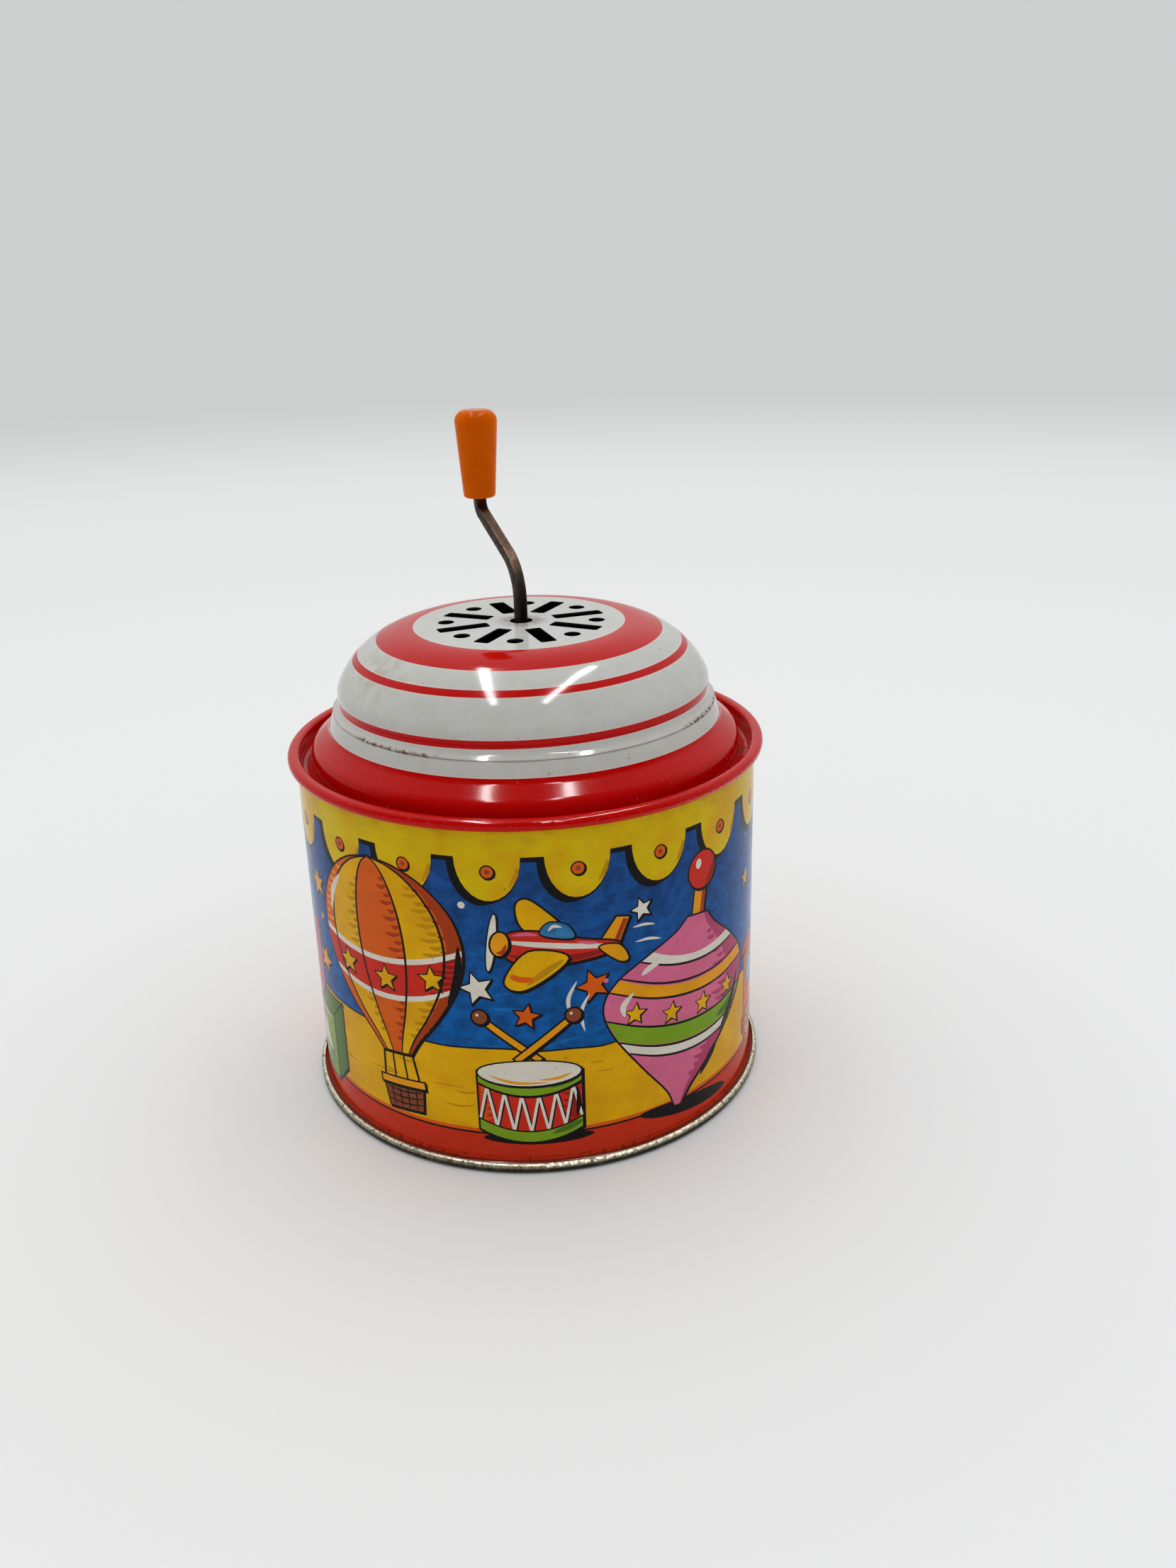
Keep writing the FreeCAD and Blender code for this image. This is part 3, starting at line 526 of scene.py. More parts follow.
def dark_steel():
    """Drawn steel rod, browned, darkest at the foot, with its edges painted lighter for wear and a painted
    sheen.
    """
    rod = Finish("dark_steel", Metallic=0.7, Specular_IOR_Level=0.12)
    edge = rod.node("VertexColor", layer_name="edge").outputs["Color"]
    rod.colour = rod.tone("rod_steel", rod.noise(3.5, 5, stretch=(1, 1, 2.5)))
    rod.coat("rod_spot", rod.flecks(3.0, 0.42, 0.62, detail=4, shift=7), 0.7)
    rod.coat("rod_brown", rod.ramp(rod.z, *ROD_BROWN), 0.7)
    rod.coat("rod_dark", rod.ramp(rod.z, *ROD_DARK), 0.95)
    # Lighter rounds along the edges: wear and painted sheen.
    rod.coat("rubbed_and_sheen", edge, rod.flecks(1.5, 0.3, 0.6, detail=4, shift=3), 0.4)
    rod.set("Roughness", rod.flecks(1.6, 0.3, 0.7, 0.42, 0.58, detail=4, shift=5))
    rod.bump(rod.noise(0.9, 4, shift=9), 0.2, 0.04)
    return rod.done()


def orange_plastic():
    """Glossy, slightly clear moulded plastic with faint clouds and a few nicks."""
    glow = {"Subsurface_Radius": [reach * MM for reach in KNOB_GLOW], "Subsurface_Scale": 1.0}
    knob = Finish("orange_plastic", Specular_IOR_Level=0.025, Subsurface_Weight=0.8, **glow)
    knob.colour = knob.tone("knob_orange", knob.noise(4, 4))
    knob.coat("nick", knob.flecks(1.0, 0.77, 0.8, detail=1, shift=4), 0.7)
    knob.set("Roughness", knob.flecks(2.5, 0.35, 0.7, 0.12, 0.2, detail=4, shift=6))
    knob.bump(knob.noise(2.5, 2, shift=8), 0.1, 0.05)
    return knob.done()


def turned_metal(name, roughness):
    """Plain metal of the movement, with cloudy tarnish and fine turning marks."""
    metal = Finish(name, Metallic=1.0)
    metal.colour = metal.tone(name, metal.noise(3.5, 4))
    marks = metal.noise(0.5, 2, stretch=(4, 4, 0.4), shift=3)
    metal.set("Roughness", metal.ramp(marks, 0.3, 0.7, roughness - 0.08, roughness + 0.1))
    metal.bump(marks, 0.1, 0.03)
    return metal.done()


def floor_paper():
    """Matt white floor that turns into the backdrop's colours far from the object."""
    paper = Finish("floor_paper", Roughness=0.85, Specular_IOR_Level=0.1)
    paper.colour = "floor"
    away = paper.radius()
    backdrop = paper.blend(paper.ramp(away, *BACKDROP_FADE), "horizon", "backdrop")
    far = paper.node("Emission", {"Color": backdrop}).outputs["Emission"]
    close = paper.shader.outputs["BSDF"]
    mixed = paper.node("MixShader", {0: paper.ramp(away, *FLOOR_FADE), 1: close, 2: far})
    paper.feed(paper.output.inputs["Surface"], mixed.outputs[0])
    return paper.done()


# Outlines in the unrolled plane of the wall: a runs along the wall from its front to the right, z upwards

def spline(before, here, there, after, share):
    """Point of a smooth curve between here and there."""
    bend = 2 * before - 5 * here + 4 * there - after
    turn = 3 * here - before - 3 * there + after
    return here + 0.5 * share * (there - before + share * (bend + share * turn))


def smooth(knots, steps):
    """Smooth curve through all but the first and the last of the points."""
    fours = zip(knots, knots[1:], knots[2:], knots[3:])
    return [spline(*four, step / steps) for four in fours for step in range(steps)]


def loop(points, steps=6):
    """Closed smooth curve through the points."""
    knots = [Vector(point) for point in points]
    return smooth([knots[-1], *knots, *knots[:2]], steps)


def line(points, steps=6):
    """Open smooth curve through the points."""
    knots = [Vector(point) for point in points]
    return smooth([knots[0], *knots, knots[-1]], steps) + [knots[-1]]


def stroke(points, width, tips=0.3, steps=6):
    """Brush stroke, widest in the middle; tips is the share of its width left at the ends."""
    path = line(points, steps)
    last = len(path) - 1
    left = []
    right = []
    for k, point in enumerate(path):
        way = path[min(k + 1, last)] - path[max(k - 1, 0)]
        share = tips + (1 - tips) * sin(pi * k / last)
        side = Vector((-way.y, way.x)).normalized() * (width * share / 2)
        left.append(point + side)
        right.append(point - side)
    return left + right[::-1]


def disc(a, z, wide, high=None, points=28):
    high = wide if high is None else high
    return [Vector((a + wide * cos(turn), z + high * sin(turn))) for turn in turns(points)]


def box(left, right, low, high):
    return [Vector(corner) for corner in ((left, low), (right, low), (right, high), (left, high))]


def star(a, z, size, turn=90.0, points=5, waist=0.45):
    made = []
    for k in range(2 * points):
        reach = size if k % 2 == 0 else size * waist
        angle = radians(turn + 180.0 * k / points)
        made.append(Vector((a + reach * cos(angle), z + reach * sin(angle))))
    return made


def to_left(outline):
    """The outline's points, so ordered that its inside lies to the left."""
    points = [Vector(point) for point in outline]
    area = sum(p.x * q.y - q.x * p.y for p, q in zip(points, points[1:] + points[:1]))
    return points if area > 0 else points[::-1]


def grown(outline, margin):
    """Outline, with its inside to the left, moved outwards by a margin."""
    made = []
    for before, here, after in zip(outline[-1:] + outline[:-1], outline, outline[1:] + outline[:1]):
        way_in = (here - before).normalized()
        way_out = (after - here).normalized()
        way = (way_in + way_out).normalized()
        spread = max(0.5, way.dot(way_in))
        made.append(here + Vector((way.y, -way.x)) * (margin / spread))
    return made


print_layers = []


def ink(colour, outline):
    print_layers.append((colour, to_left(outline)))


def inked(colour, outline, pen=PEN):
    """Colour with a black outline, thicker below and to the right."""
    drawn = grown(to_left(outline), pen)
    thicker = Vector((SHADE_PEN, -SHADE_PEN)) * (pen / PEN)
    ink("black", [point + thicker for point in drawn])
    ink("black", drawn)
    ink(colour, outline)


class Toy:
    """A drawing in its own frame, put in its place on the wall, leant by degrees and scaled."""

    def __init__(self, a, z, lean=0.0, size=1.0):
        angle = radians(lean)
        self.foot = Vector((a, z))
        self.across = Vector((cos(angle), sin(angle))) * size
        self.up = Vector((-sin(angle), cos(angle))) * size

    def placed(self, outline):
        return [self.foot + self.across * point[0] + self.up * point[1] for point in outline]

    def ink(self, colour, outline):
        ink(colour, self.placed(outline))

    def inked(self, colour, outline, pen=PEN):
        inked(colour, self.placed(outline), pen)

    def strokes(self, colour, width, *paths, tips=0.1):
        for path in paths:
            self.ink(colour, stroke(path, width, tips))


class Profile:
    """Half widths of a turned body by height."""

    def __init__(self, *knots):
        self.points = line([(height, half) for half, height in knots], 5)

    def half(self, height):
        for low, high in zip(self.points, self.points[1:]):
            if low.x <= height <= high.x:
                return low.y + (high.y - low.y) * (height - low.x) / max(high.x - low.x, TINY)
        return 0.0

    def gore(self, left, right):
        """Strip between two meridians; left and right are shares of the half width."""
        rise = [(left * half, height) for height, half in self.points]
        fall = [(right * half, height) for height, half in reversed(self.points)]
        return rise + fall

    def band(self, low, high, sag, steps=12):
        """Strip between two heights, hanging by sag in the middle."""
        shares = [2 * k / steps - 1 for k in range(steps + 1)]
        lower = [(self.half(low) * s, low - sag * (1 - s * s)) for s in shares]
        upper = [(self.half(high) * s, high - sag * (1 - s * s)) for s in reversed(shares)]
        return lower + upper

    def brushed(self, toy, colour, low, high, edge, tip, count):
        """Row of dry brush marks that run from a meridian's edge to its tip."""
        for k in range(count):
            height = low + (high - low) * k / (count - 1)
            half = self.half(height)
            reach = tip + (0.06 if k % 2 else -0.04)
            middle = (edge + reach) / 2
            path = [(edge * half, height), (middle * half, height - 0.35), (reach * half, height - 0.1)]
            toy.ink(colour, stroke(path, 0.75, 0.15, 4))


def spinning_top(toy):
    body = Profile(
        (0.6, 0), (2.4, 3), (7.5, 8), (13, 14), (15, 18.5), (13.4, 22.5), (9, 26), (4.2, 29), (2.2, 31),
    )
    toy.ink("black", disc(2.5, -0.4, 9.5, 1.3))
    toy.inked("amber", box(-1.2, 1.2, 30, 36))
    toy.ink("sienna", box(0.4, 1.2, 30, 36))
    toy.inked("red", disc(0, 38, 2.9))
    toy.ink("maroon", loop([(1, 35.4), (2.7, 37.2), (2.5, 39.4), (1.7, 37.4)], 4))
    toy.ink("white", disc(-1, 39, 0.6, 0.8, 10))
    toy.inked("pink", body.gore(-1, 1))
    toy.ink("rose", body.gore(0.62, 1))
    body.brushed(toy, "rose", 5, 28, 0.64, 0.4, 20)
    hang = 0.16
    bands = (("white", 10.6, 12.4), ("green", 12.9, 16.2), ("amber", 21, 22.8), ("white", 25.4, 26.6))
    for colour, low, high in bands:
        toy.ink(colour, body.band(low, high, hang * body.half(low)))
    for low in (10.6, 12.6, 16.3, 20.9, 23, 25.3):
        sag = hang * body.half(low)
        arc = [(body.half(low) * s, low - sag * (1 - s * s)) for s in (-1, -0.5, 0, 0.5, 1)]
        toy.ink("black", stroke(arc, 0.4, 0.6))
    for share in (-0.66, -0.22, 0.22, 0.66):
        half = body.half(18.4)
        toy.inked("yellow", star(share * half, 18.4 - hang * half * (1 - share * share), 1.7), 0.25)
    toy.ink("leaf", stroke([(7.5, 12.6), (10.6, 13.6), (12.8, 15)], 1.6, 0.1))
    shines = ([(-10.6, 20.6), (-12, 18.6), (-11.6, 16.8)], [(-6.4, 25), (-8.4, 24.2), (-9.6, 23.2)])
    toy.strokes("white", 1, *shines)
    toy.strokes("black", 1.3, [(8.6, 9.6), (11.8, 13.8), (13.6, 18.4)], [(4.4, 3.6), (6.6, 6.4), (8.2, 8.4)])
    for side in (-1, 1):
        for reach, low in ((17.5, 15), (19.6, 17)):
            whirl = [(side * reach, low), (side * (reach + 0.9), low + 3), (side * reach, low + 6)]
            toy.strokes("white", 0.6, whirl)


def hot_air_balloon(toy):
    bag = Profile(
        (3, 11), (5.2, 14), (9.8, 19), (13.8, 25), (15.4, 31), (14.2, 37), (10.4, 42), (5.5, 45), (0.3, 46.2),
    )
    for side in (-1, 1):
        toy.strokes("black", 0.5, [(side * 3.8, 5), (side * 3, 11.5)], tips=0.8)
        toy.strokes("black", 0.4, [(side * 1.3, 5), (side * 1.1, 11.5)], tips=0.8)
    toy.inked("brown", [(-3.5, 0), (3.5, 0), (4.2, 5), (-4.2, 5)])
    for low in (1.2, 2.4, 3.6):
        toy.strokes("black", 0.3, [(-3.6, low), (0, low - 0.3), (3.7, low)], tips=0.6)
    for a in (-2.4, -0.8, 0.8, 2.4):
        toy.strokes("black", 0.3, [(a, 0.2), (a * 1.12, 4.6)], tips=0.6)
    toy.inked("amber", box(-4.6, 4.6, 4.5, 5.7))
    toy.inked("orange", bag.gore(-1, 1))
    for left, right in ((-0.8, -0.32), (0.32, 0.8)):
        toy.ink("yellow", bag.gore(left, right))
    toy.ink("sienna", bag.gore(0.84, 1))
    rows = (
        ("sienna", 15, 43, 0.98, 0.8, 22), ("ochre", 15, 42, 0.8, 0.58, 22),
        ("sienna", 14, 43, 0.31, 0.14, 22), ("ochre", 15, 42, -0.33, -0.46, 22),
        ("amber", 26, 43, -0.98, -0.86, 14),
    )
    for row in rows:
        bag.brushed(toy, *row)
    sag = 2.6
    toy.ink("red", bag.band(24.4, 30.2, sag))
    bag.brushed(toy, "maroon", 23.4, 29.6, 0.99, 0.7, 7)
    for low in (23.4, 30.2):
        toy.ink("white", bag.band(low, low + 1, sag))
    for share in (-0.62, 0, 0.62):
        toy.inked("yellow", star(share * 15, 27.3 - sag * (1 - share * share), 2.3), 0.3)
    for share in (-0.8, -0.32, 0.32, 0.8):
        meridian = [(share * half, height) for height, half in bag.points[::5]]
        toy.ink("black", stroke(meridian, 0.45, 0.5))
    toy.strokes("white", 1.2, [(-8.2, 41.6), (-11.4, 38), (-12.8, 34)])
    toy.strokes("black", 1.4, [(11.6, 21.4), (14, 26.5), (14.9, 32)])


def toy_drum(toy):
    half = 11
    sag = 3
    shell = Profile((half, 0), (half, 7), (half, 14))
    toy.ink("black", disc(1.5, -2.2, 12, 1.5))
    for side in (-1, 1):
        toy.inked("amber", stroke([(side * 9.5, 27), (side * -2.5, 17.2)], 1.3, 0.9))
        toy.inked("brown", disc(side * 9.8, 27.4, 1.6, points=16))
        toy.ink("white", disc(side * 9.8 - 0.5, 27.9, 0.35, points=8))
    toy.inked("red", shell.band(0, 14, sag))
    shell.brushed(toy, "maroon", -1, 13, 0.98, 0.66, 18)
    shell.brushed(toy, "orange", 0.5, 13, -0.98, -0.8, 16)
    cords = 6
    for k in range(cords):
        low = (k - cords / 2) * 2 / cords
        for start, end in ((low, low + 1 / cords), (low + 2 / cords, low + 1 / cords)):
            ends = [(half * s, h - sag * (1 - s * s)) for s, h in ((start, 2.4), (end, 11.6))]
            toy.ink("black", stroke([(a + 0.35, z - 0.1) for a, z in ends], 0.6, 0.9))
            toy.ink("white", stroke(ends, 0.6, 0.9))
    for low in (0, 11.6):
        toy.inked("green", shell.band(low, low + 2.4, sag), 0.35)
        toy.ink("leaf", stroke([(4.5, low - 1.1), (8.6, low + 0.4), (10.9, low + 1.5)], 1.5, 0.2))
    toy.inked("white", disc(0, 14, half, sag), 0.35)
    toy.strokes("amber", 0.7, [(-8.6, 13.4), (-3, 11.8), (4, 11.7)], [(2, 12.4), (6, 12.6), (9, 13.6)])
    toy.strokes("black", 1, [(9.8, 2.6), (10.3, 6), (10.1, 10)])


def toy_engine(toy):
    for a, z, size in ((10.5, 27, 2.6), (13, 31.5, 3.3), (16.5, 37, 4.2)):
        puff = star(a, z, size, points=7, waist=0.76)
        shadow = ((-0.4, -0.35), (0.1, -0.5), (0.55, -0.2))
        toy.inked("white", loop(puff, 4))
        toy.strokes("cyan", 0.8, [(a + u * size, z + v * size) for u, v in shadow])
    boiler = [(-6, 7), (-6, 16), (4, 16.3), (13.2, 15.6), (14.4, 11.5), (13.2, 7.4), (4, 6.8)]
    toy.inked("green", loop(boiler))
    toy.ink("leaf", stroke([(-3, 8.6), (4, 8.2), (13, 8.6)], 2, 0.2))
    for a in (0, 5):
        toy.inked("amber", box(a, a + 1.3, 6.8, 16.2), 0.3)
    toy.strokes("white", 0.8, [(6.8, 14.2), (9.6, 14.5), (12.4, 13.8)], [(-5, 14.6), (-3, 14.9), (-1, 14.8)])
    toy.inked("black", [(7.6, 16), (12, 16), (12.4, 21), (7.2, 21)])
    toy.inked("amber", box(6.4, 13.2, 20.6, 22.6))
    toy.inked("amber", disc(2.8, 16.4, 2.2, 2.6, 18))
    toy.inked("orange", box(-15, -5, 6, 22))
    toy.ink("sienna", box(-6.8, -5, 6, 22))
    toy.inked("cyan", box(-12.8, -7.6, 13.6, 19.4), 0.35)
    toy.strokes("white", 0.7, [(-12, 15), (-10.6, 17), (-9.4, 18.8)])
    toy.inked("red", [(-16.6, 22), (-3.4, 22), (-4.4, 24.4), (-15.6, 24.4)])
    toy.inked("red", box(-16, 15.2, 4.4, 7))
    toy.ink("yellow", box(-15.4, 14.6, 5.5, 6.1))
    toy.inked("red", [(15.2, 1.2), (19.2, 1.2), (15.2, 7)])
    for a, size in ((-10.5, 4.6), (0, 4.6), (10.2, 3.6)):
        hub = Vector((a, size))
        toy.inked("red", disc(a, size, size))
        toy.inked("amber", disc(a, size, size * 0.68), 0.3)
        for turn in range(0, 180, 45):
            across = Vector((cos(radians(turn)), sin(radians(turn)))) * size * 0.66
            toy.strokes("black", 0.45, [hub - across, hub + across], tips=0.9)
        toy.inked("red", disc(a, size, size * 0.2, points=14), 0.3)
    toy.strokes("black", 0.9, [(-10.5, 5.6), (-4, 5.8), (0, 5.6)], tips=0.8)


def kite(toy):
    top, right, low, left, middle = (0, 15), (9, 4), (0, -14), (-9, 4), (0, 4)
    toy.strokes("black", 0.5, [(0, -14), (2.5, -18), (-1.5, -22), (2, -26), (-0.5, -30)], tips=0.8)
    bow = ((-2.8, 1.5), (0, 0), (2.8, 1.7), (2.6, -1.5), (0, 0), (-2.6, -1.6))
    for (a, z), colour in zip(((2.2, -17.4), (-0.9, -22.4), (1.6, -27)), ("red", "green", "amber")):
        toy.inked(colour, [(a + u, z + v) for u, v in bow], 0.3)
    toy.inked("pink", [top, left, low, right])
    toy.ink("yellow", [top, left, middle])
    toy.ink("yellow", [low, right, middle])
    toy.ink("rose", [(0, -14), (-9, 4), (-6.4, 4), (0, -9.4)])
    toy.ink("ochre", [(0, -14), (9, 4), (6.6, 4), (0, -9.4)])
    toy.strokes("black", 0.5, [top, middle, low], [left, middle, right], tips=0.8)
    toy.strokes("white", 0.8, [(1.4, 11.2), (4.2, 7.6), (6.6, 4.8)], [(-6.4, 5.4), (-4, 8.6), (-1.6, 11.4)])


def pinwheel(toy):
    hub = 34
    toy.inked("white", box(-0.9, 0.9, 0, 32))
    for k in range(8):
        low = 0.6 + 3.6 * k
        toy.ink("red", [(-0.9, low), (0.9, low + 1.2), (0.9, low + 3), (-0.9, low + 1.8)])

    def turned(toward, curve):
        angles = [(reach, radians(toward + degrees)) for reach, degrees in curve]
        return [(reach * cos(angle), hub + reach * sin(angle)) for reach, angle in angles]

    vane = ((0.8, -40), (6.5, -12), (14.2, 2), (13.2, 16), (9.4, 24), (4.6, 26))
    for k in range(6):
        toward = 60 * k + 12
        toy.inked(("pink", "white", "amber")[k % 3], loop(turned(toward, vane), 4))
        toy.strokes("black", 0.8, turned(toward, ((5, 22), (9, 18), (12.4, 13))))
        toy.strokes(("rose", "cyan", "sienna")[k % 3], 1, turned(toward, ((4, 10), (8, 9), (12, 6))))
    toy.inked("yellow", disc(0, hub, 2.1, points=20))
    toy.ink("red", disc(0, hub, 0.9, points=14))


def toy_plane(toy):
    toy.inked("white", disc(-12.8, 0.4, 0.8, 6.2, 20), 0.3)
    toy.inked("amber", [(8.2, 1.8), (11.2, 7.2), (13.8, 7), (12.2, 1)])
    toy.ink("sienna", [(11.2, 2), (12.6, 6.8), (13.6, 6.7), (12.1, 1.2)])
    toy.inked("yellow", loop([(-6.5, 4), (-8.8, 9), (-6, 10.2), (1.5, 4)]))
    back = [(-11, 0.6), (-9, 3.2), (-3, 3.9), (4, 2.8), (11.5, 2)]
    belly = [(12, 0.4), (5, -1.8), (-3, -3.2), (-9, -2.6)]
    toy.inked("red", loop(back + belly))
    toy.ink("maroon", stroke([(-9, -1.7), (-3, -2.2), (4, -1.1), (11, 0.5)], 1.6, 0.2))
    toy.ink("white", stroke([(-9, 1.1), (0, 1.2), (11.4, 1.2)], 1.2, 0.6))
    toy.strokes("pink", 0.7, [(-9, 2.6), (-6.5, 3.2), (-4, 3.2)], [(3.6, 2.2), (6, 1.9), (8, 1.9)])
    toy.inked("cyan", loop([(-3.4, 3.4), (-2.2, 6), (1.4, 5.6), (2.8, 3)]), 0.3)
    toy.strokes("white", 0.7, [(-2.2, 4.2), (-1.3, 5.3), (0.4, 5.2)])
    toy.inked("yellow", loop([(-5.5, -0.6), (-9.4, -7.6), (-5.2, -8.8), (2.4, -1.4)]))
    toy.ink("ochre", stroke([(-5, -7.8), (-2, -4.8), (1.4, -1.8)], 1.4, 0.2))
    toy.ink("orange", stroke([(-8.4, -6.2), (-6.4, -6.7), (-4, -6.4)], 1.3, 0.7))
    toy.inked("amber", loop([(8.4, 0.9), (12.8, -2.2), (14.8, -1.8), (12.4, 1.2)]), 0.35)
    toy.inked("amber", disc(-11.2, 0.4, 1.7, 2.5, 18))
    toy.strokes("sienna", 0.9, [(-11.6, -1.5), (-10.4, -1.2), (-9.9, 0.6)])
    toy.strokes("white", 0.6, [(15, 4.6), (17.5, 5), (20, 4.8)], [(16, 1.4), (19, 1.8), (22, 1.4)])


def toy_block(toy, a, z, size, front, side, mark, mark_colour):
    depth = 0.36 * size
    right, top = a + size, z + size
    toy.inked(side, [(a, top), (right, top), (right + depth, top + depth), (a + depth, top + depth)])
    toy.inked(side, [(right, z), (right + depth, z + depth), (right + depth, top + depth), (right, top)])
    toy.inked(front, box(a, right, z, top))
    middle = (a + size / 2, z + size / 2)
    shine = [(a + 0.9, top - 0.9), (middle[0], top - 0.8), (right - 1.4, top - 0.9)]
    toy.strokes("white", 0.5, shine, tips=0.2)
    for low in (z + 1.2, z + 2.2, z + 3.2):
        toy.strokes(side, 0.7, [(a + 1, low), (middle[0], low - 0.4), (right - 0.6, low + 0.5)])
    marks = {
        "disc": disc(*middle, size * 0.27),
        "star": star(*middle, size * 0.34),
        "wedge": star(*middle, size * 0.34, points=3, waist=0.5),
    }
    toy.inked(mark_colour, marks[mark], 0.35)


def toy_blocks(toy):
    toy_block(toy, -14.5, 0, 13, "orange", "brown", "disc", "yellow")
    toy_block(toy, 1, 0, 13, "green", "leaf", "wedge", "white")
    toy_block(toy, -7, 13.3, 13, "pink", "rose", "star", "yellow")


def valance():
    """Scalloped valance with ringed dots and a black shadow."""
    pitch = 2 * HALF / SCALLOPS
    swing = SCALLOP_HALF * pitch
    middles = [-HALF + pitch * (k + 0.5) for k in range(SCALLOPS)]
    edge = [(-HALF, VALANCE_FOOT)]
    for middle in middles:
        for degrees in range(180, -1, -12):
            turn = radians(degrees)
            edge.append((middle + swing * cos(turn), VALANCE_FOOT - SCALLOP_DROP * sin(turn)))
    edge.append((HALF, VALANCE_FOOT))
    cloth = [(HALF, WALL_HIGH), (-HALF, WALL_HIGH)]
    for left, down in ((1.5, 1.0), (0.8, 0.8), (0.0, 0.5)):
        ink("black", [(a - left if abs(a) < HALF else a, z - down) for a, z in edge] + cloth)
    ink("valance", edge + cloth)
    for middle in middles:
        fold = [(middle + swing * u, VALANCE_FOOT - SCALLOP_DROP * v) for u, v in SCALLOP_FOLD]
        ink("ochre", stroke(fold, 1.0, 0.1))
        inked("orange", disc(middle, VALANCE_FOOT - DOT_DROP, 1.2, points=18), 0.3)
        ink("brown", disc(middle, VALANCE_FOOT - DOT_DROP, 0.5, points=12))


def ground():
    """Blue sky with brush marks, yellow ground and the red band along the foot."""
    draw = random.Random(11)
    ink("blue", box(-HALF, HALF, WALL_LOW, WALL_HIGH))
    for k in range(SKY_STROKES):
        a = draw.uniform(-HALF + SEAM_CLEAR, HALF - SEAM_CLEAR)
        z = draw.uniform(*SKY_SPAN)
        reach = draw.uniform(1.5, 4)
        rise = draw.uniform(-1.6, 1.6)
        path = [(a - reach, z - rise), (a, z + draw.uniform(-0.5, 0.5)), (a + reach, z + rise)]
        ink("sky", stroke(path, draw.uniform(0.4, 0.9), 0.1, 4))
    steps = range(1, HORIZON_POINTS)
    crest = [(-HALF + 2 * HALF * k / HORIZON_POINTS, GROUND_TOP + draw.uniform(-0.8, 0.8)) for k in steps]
    horizon = line([(-HALF, GROUND_TOP), *crest, (HALF, GROUND_TOP)], 4)
    foot = [Vector((HALF, WALL_LOW)), Vector((-HALF, WALL_LOW))]
    ink("black", [point + Vector((0, HORIZON_LINE)) for point in horizon] + foot)
    ink("yellow", horizon + foot)
    for k in range(GROUND_STROKES):
        a = draw.uniform(-HALF + SEAM_CLEAR, HALF - SEAM_CLEAR)
        z = draw.uniform(*GROUND_SPAN)
        reach = draw.uniform(1.5, 4)
        path = [(a - reach, z), (a, z + draw.uniform(-0.4, 0.4)), (a + reach, z + draw.uniform(-0.4, 0.4))]
        ink("ochre", stroke(path, draw.uniform(0.3, 0.6), 0.1, 4))
    ink("orange", box(-HALF, HALF, WALL_LOW, BAND_TOP + BAND_LINE + BAND_EDGE))
    ink("black", box(-HALF, HALF, WALL_LOW, BAND_TOP + BAND_LINE))
    ink("band", box(-HALF, HALF, WALL_LOW, BAND_TOP))


def stars_and_confetti():
    draw = random.Random(5)
    spots = [
        (-56, 54), (-12, 42), (11, 41.5), (57, 50), (92, 56), (95, 36), (130, 58), (138, 34),
        (-88, 58), (-93, 35), (-132, 60), (-140, 36), (-56, 36), (21.5, 56), (-2.5, 36),
    ]
    for k, (a, z) in enumerate(spots):
        shape = star(a, z, draw.uniform(2.3, 3.8), draw.uniform(70, 110))
        inked(("amber", "white", "orange")[k % 3], shape, 0.35)
    for k in range(CONFETTI):
        a = draw.uniform(-CONFETTI_REACH, CONFETTI_REACH)
        z = draw.uniform(*CONFETTI_SPAN)
        ink(("pink", "white", "green", "amber", "cyan")[k % 5], disc(a, z, draw.uniform(0.4, 0.8), points=12))


def draw_print():
    ground()
    valance()
    stars_and_confetti()
    hot_air_balloon(Toy(-30, 10.5, 5, 1.22))
    toy_plane(Toy(4, 50, -8, 1.0))
    spinning_top(Toy(30, 7.8, -8, 1.38))
    toy_drum(Toy(-2.5, 9.6, 0, 0.95))
    toy_engine(Toy(74, 7.2, 0, 1.1))
    pinwheel(Toy(115, 7.2, 3, 1.15))
    kite(Toy(-110, 46, -24, 1.0))
    toy_blocks(Toy(-72, 6.4, 0, 1.2))
    toy_drum(Toy(-122, 9.4, 0, 0.9))
    for side in (-1, 1):
        ink("tin", box(*sorted((side * HALF, side * (HALF - SEAM_STRIP))), WALL_LOW, WALL_HIGH))


# Meshes

def new_piece(name, vertices, faces):
    mesh = bpy.data.meshes.new(name)
    mesh.from_pydata(vertices, [], faces)
    piece = bpy.data.objects.new(name, mesh)
    bpy.context.scene.collection.objects.link(piece)
    return piece


def wall_place(a, v, depth=0.0):
    """Point of the unrolled plane on the wall, in metres; depth is how far it lies inside the outer skin."""
    turn = min(max((FLARE_TOP - v) / FLARE_R, 0.0), pi / 2)
    reach = FLARE_R + depth
    run = max(FLARE_TOP - FLARE_TURN - v, 0.0)
    radius = FLARE_MIDDLE - reach * cos(turn) + run
    height = max(v, FLARE_TOP) - reach * sin(turn)
    angle = a / WALL_R
    return Vector((radius * sin(angle), -radius * cos(angle), height)) * MM


def sheet_normal(point):
    """Outward direction of the wall's sheet at one of its points."""
    outward = Vector((point.x, point.y, 0))
    level = max(FLARE_MIDDLE * MM - outward.length, 0.0)
    rise = max(FLARE_TOP * MM - point.z, 0.0)
    outward.normalize()
    return (outward * level + Vector((0, 0, rise))).normalized()


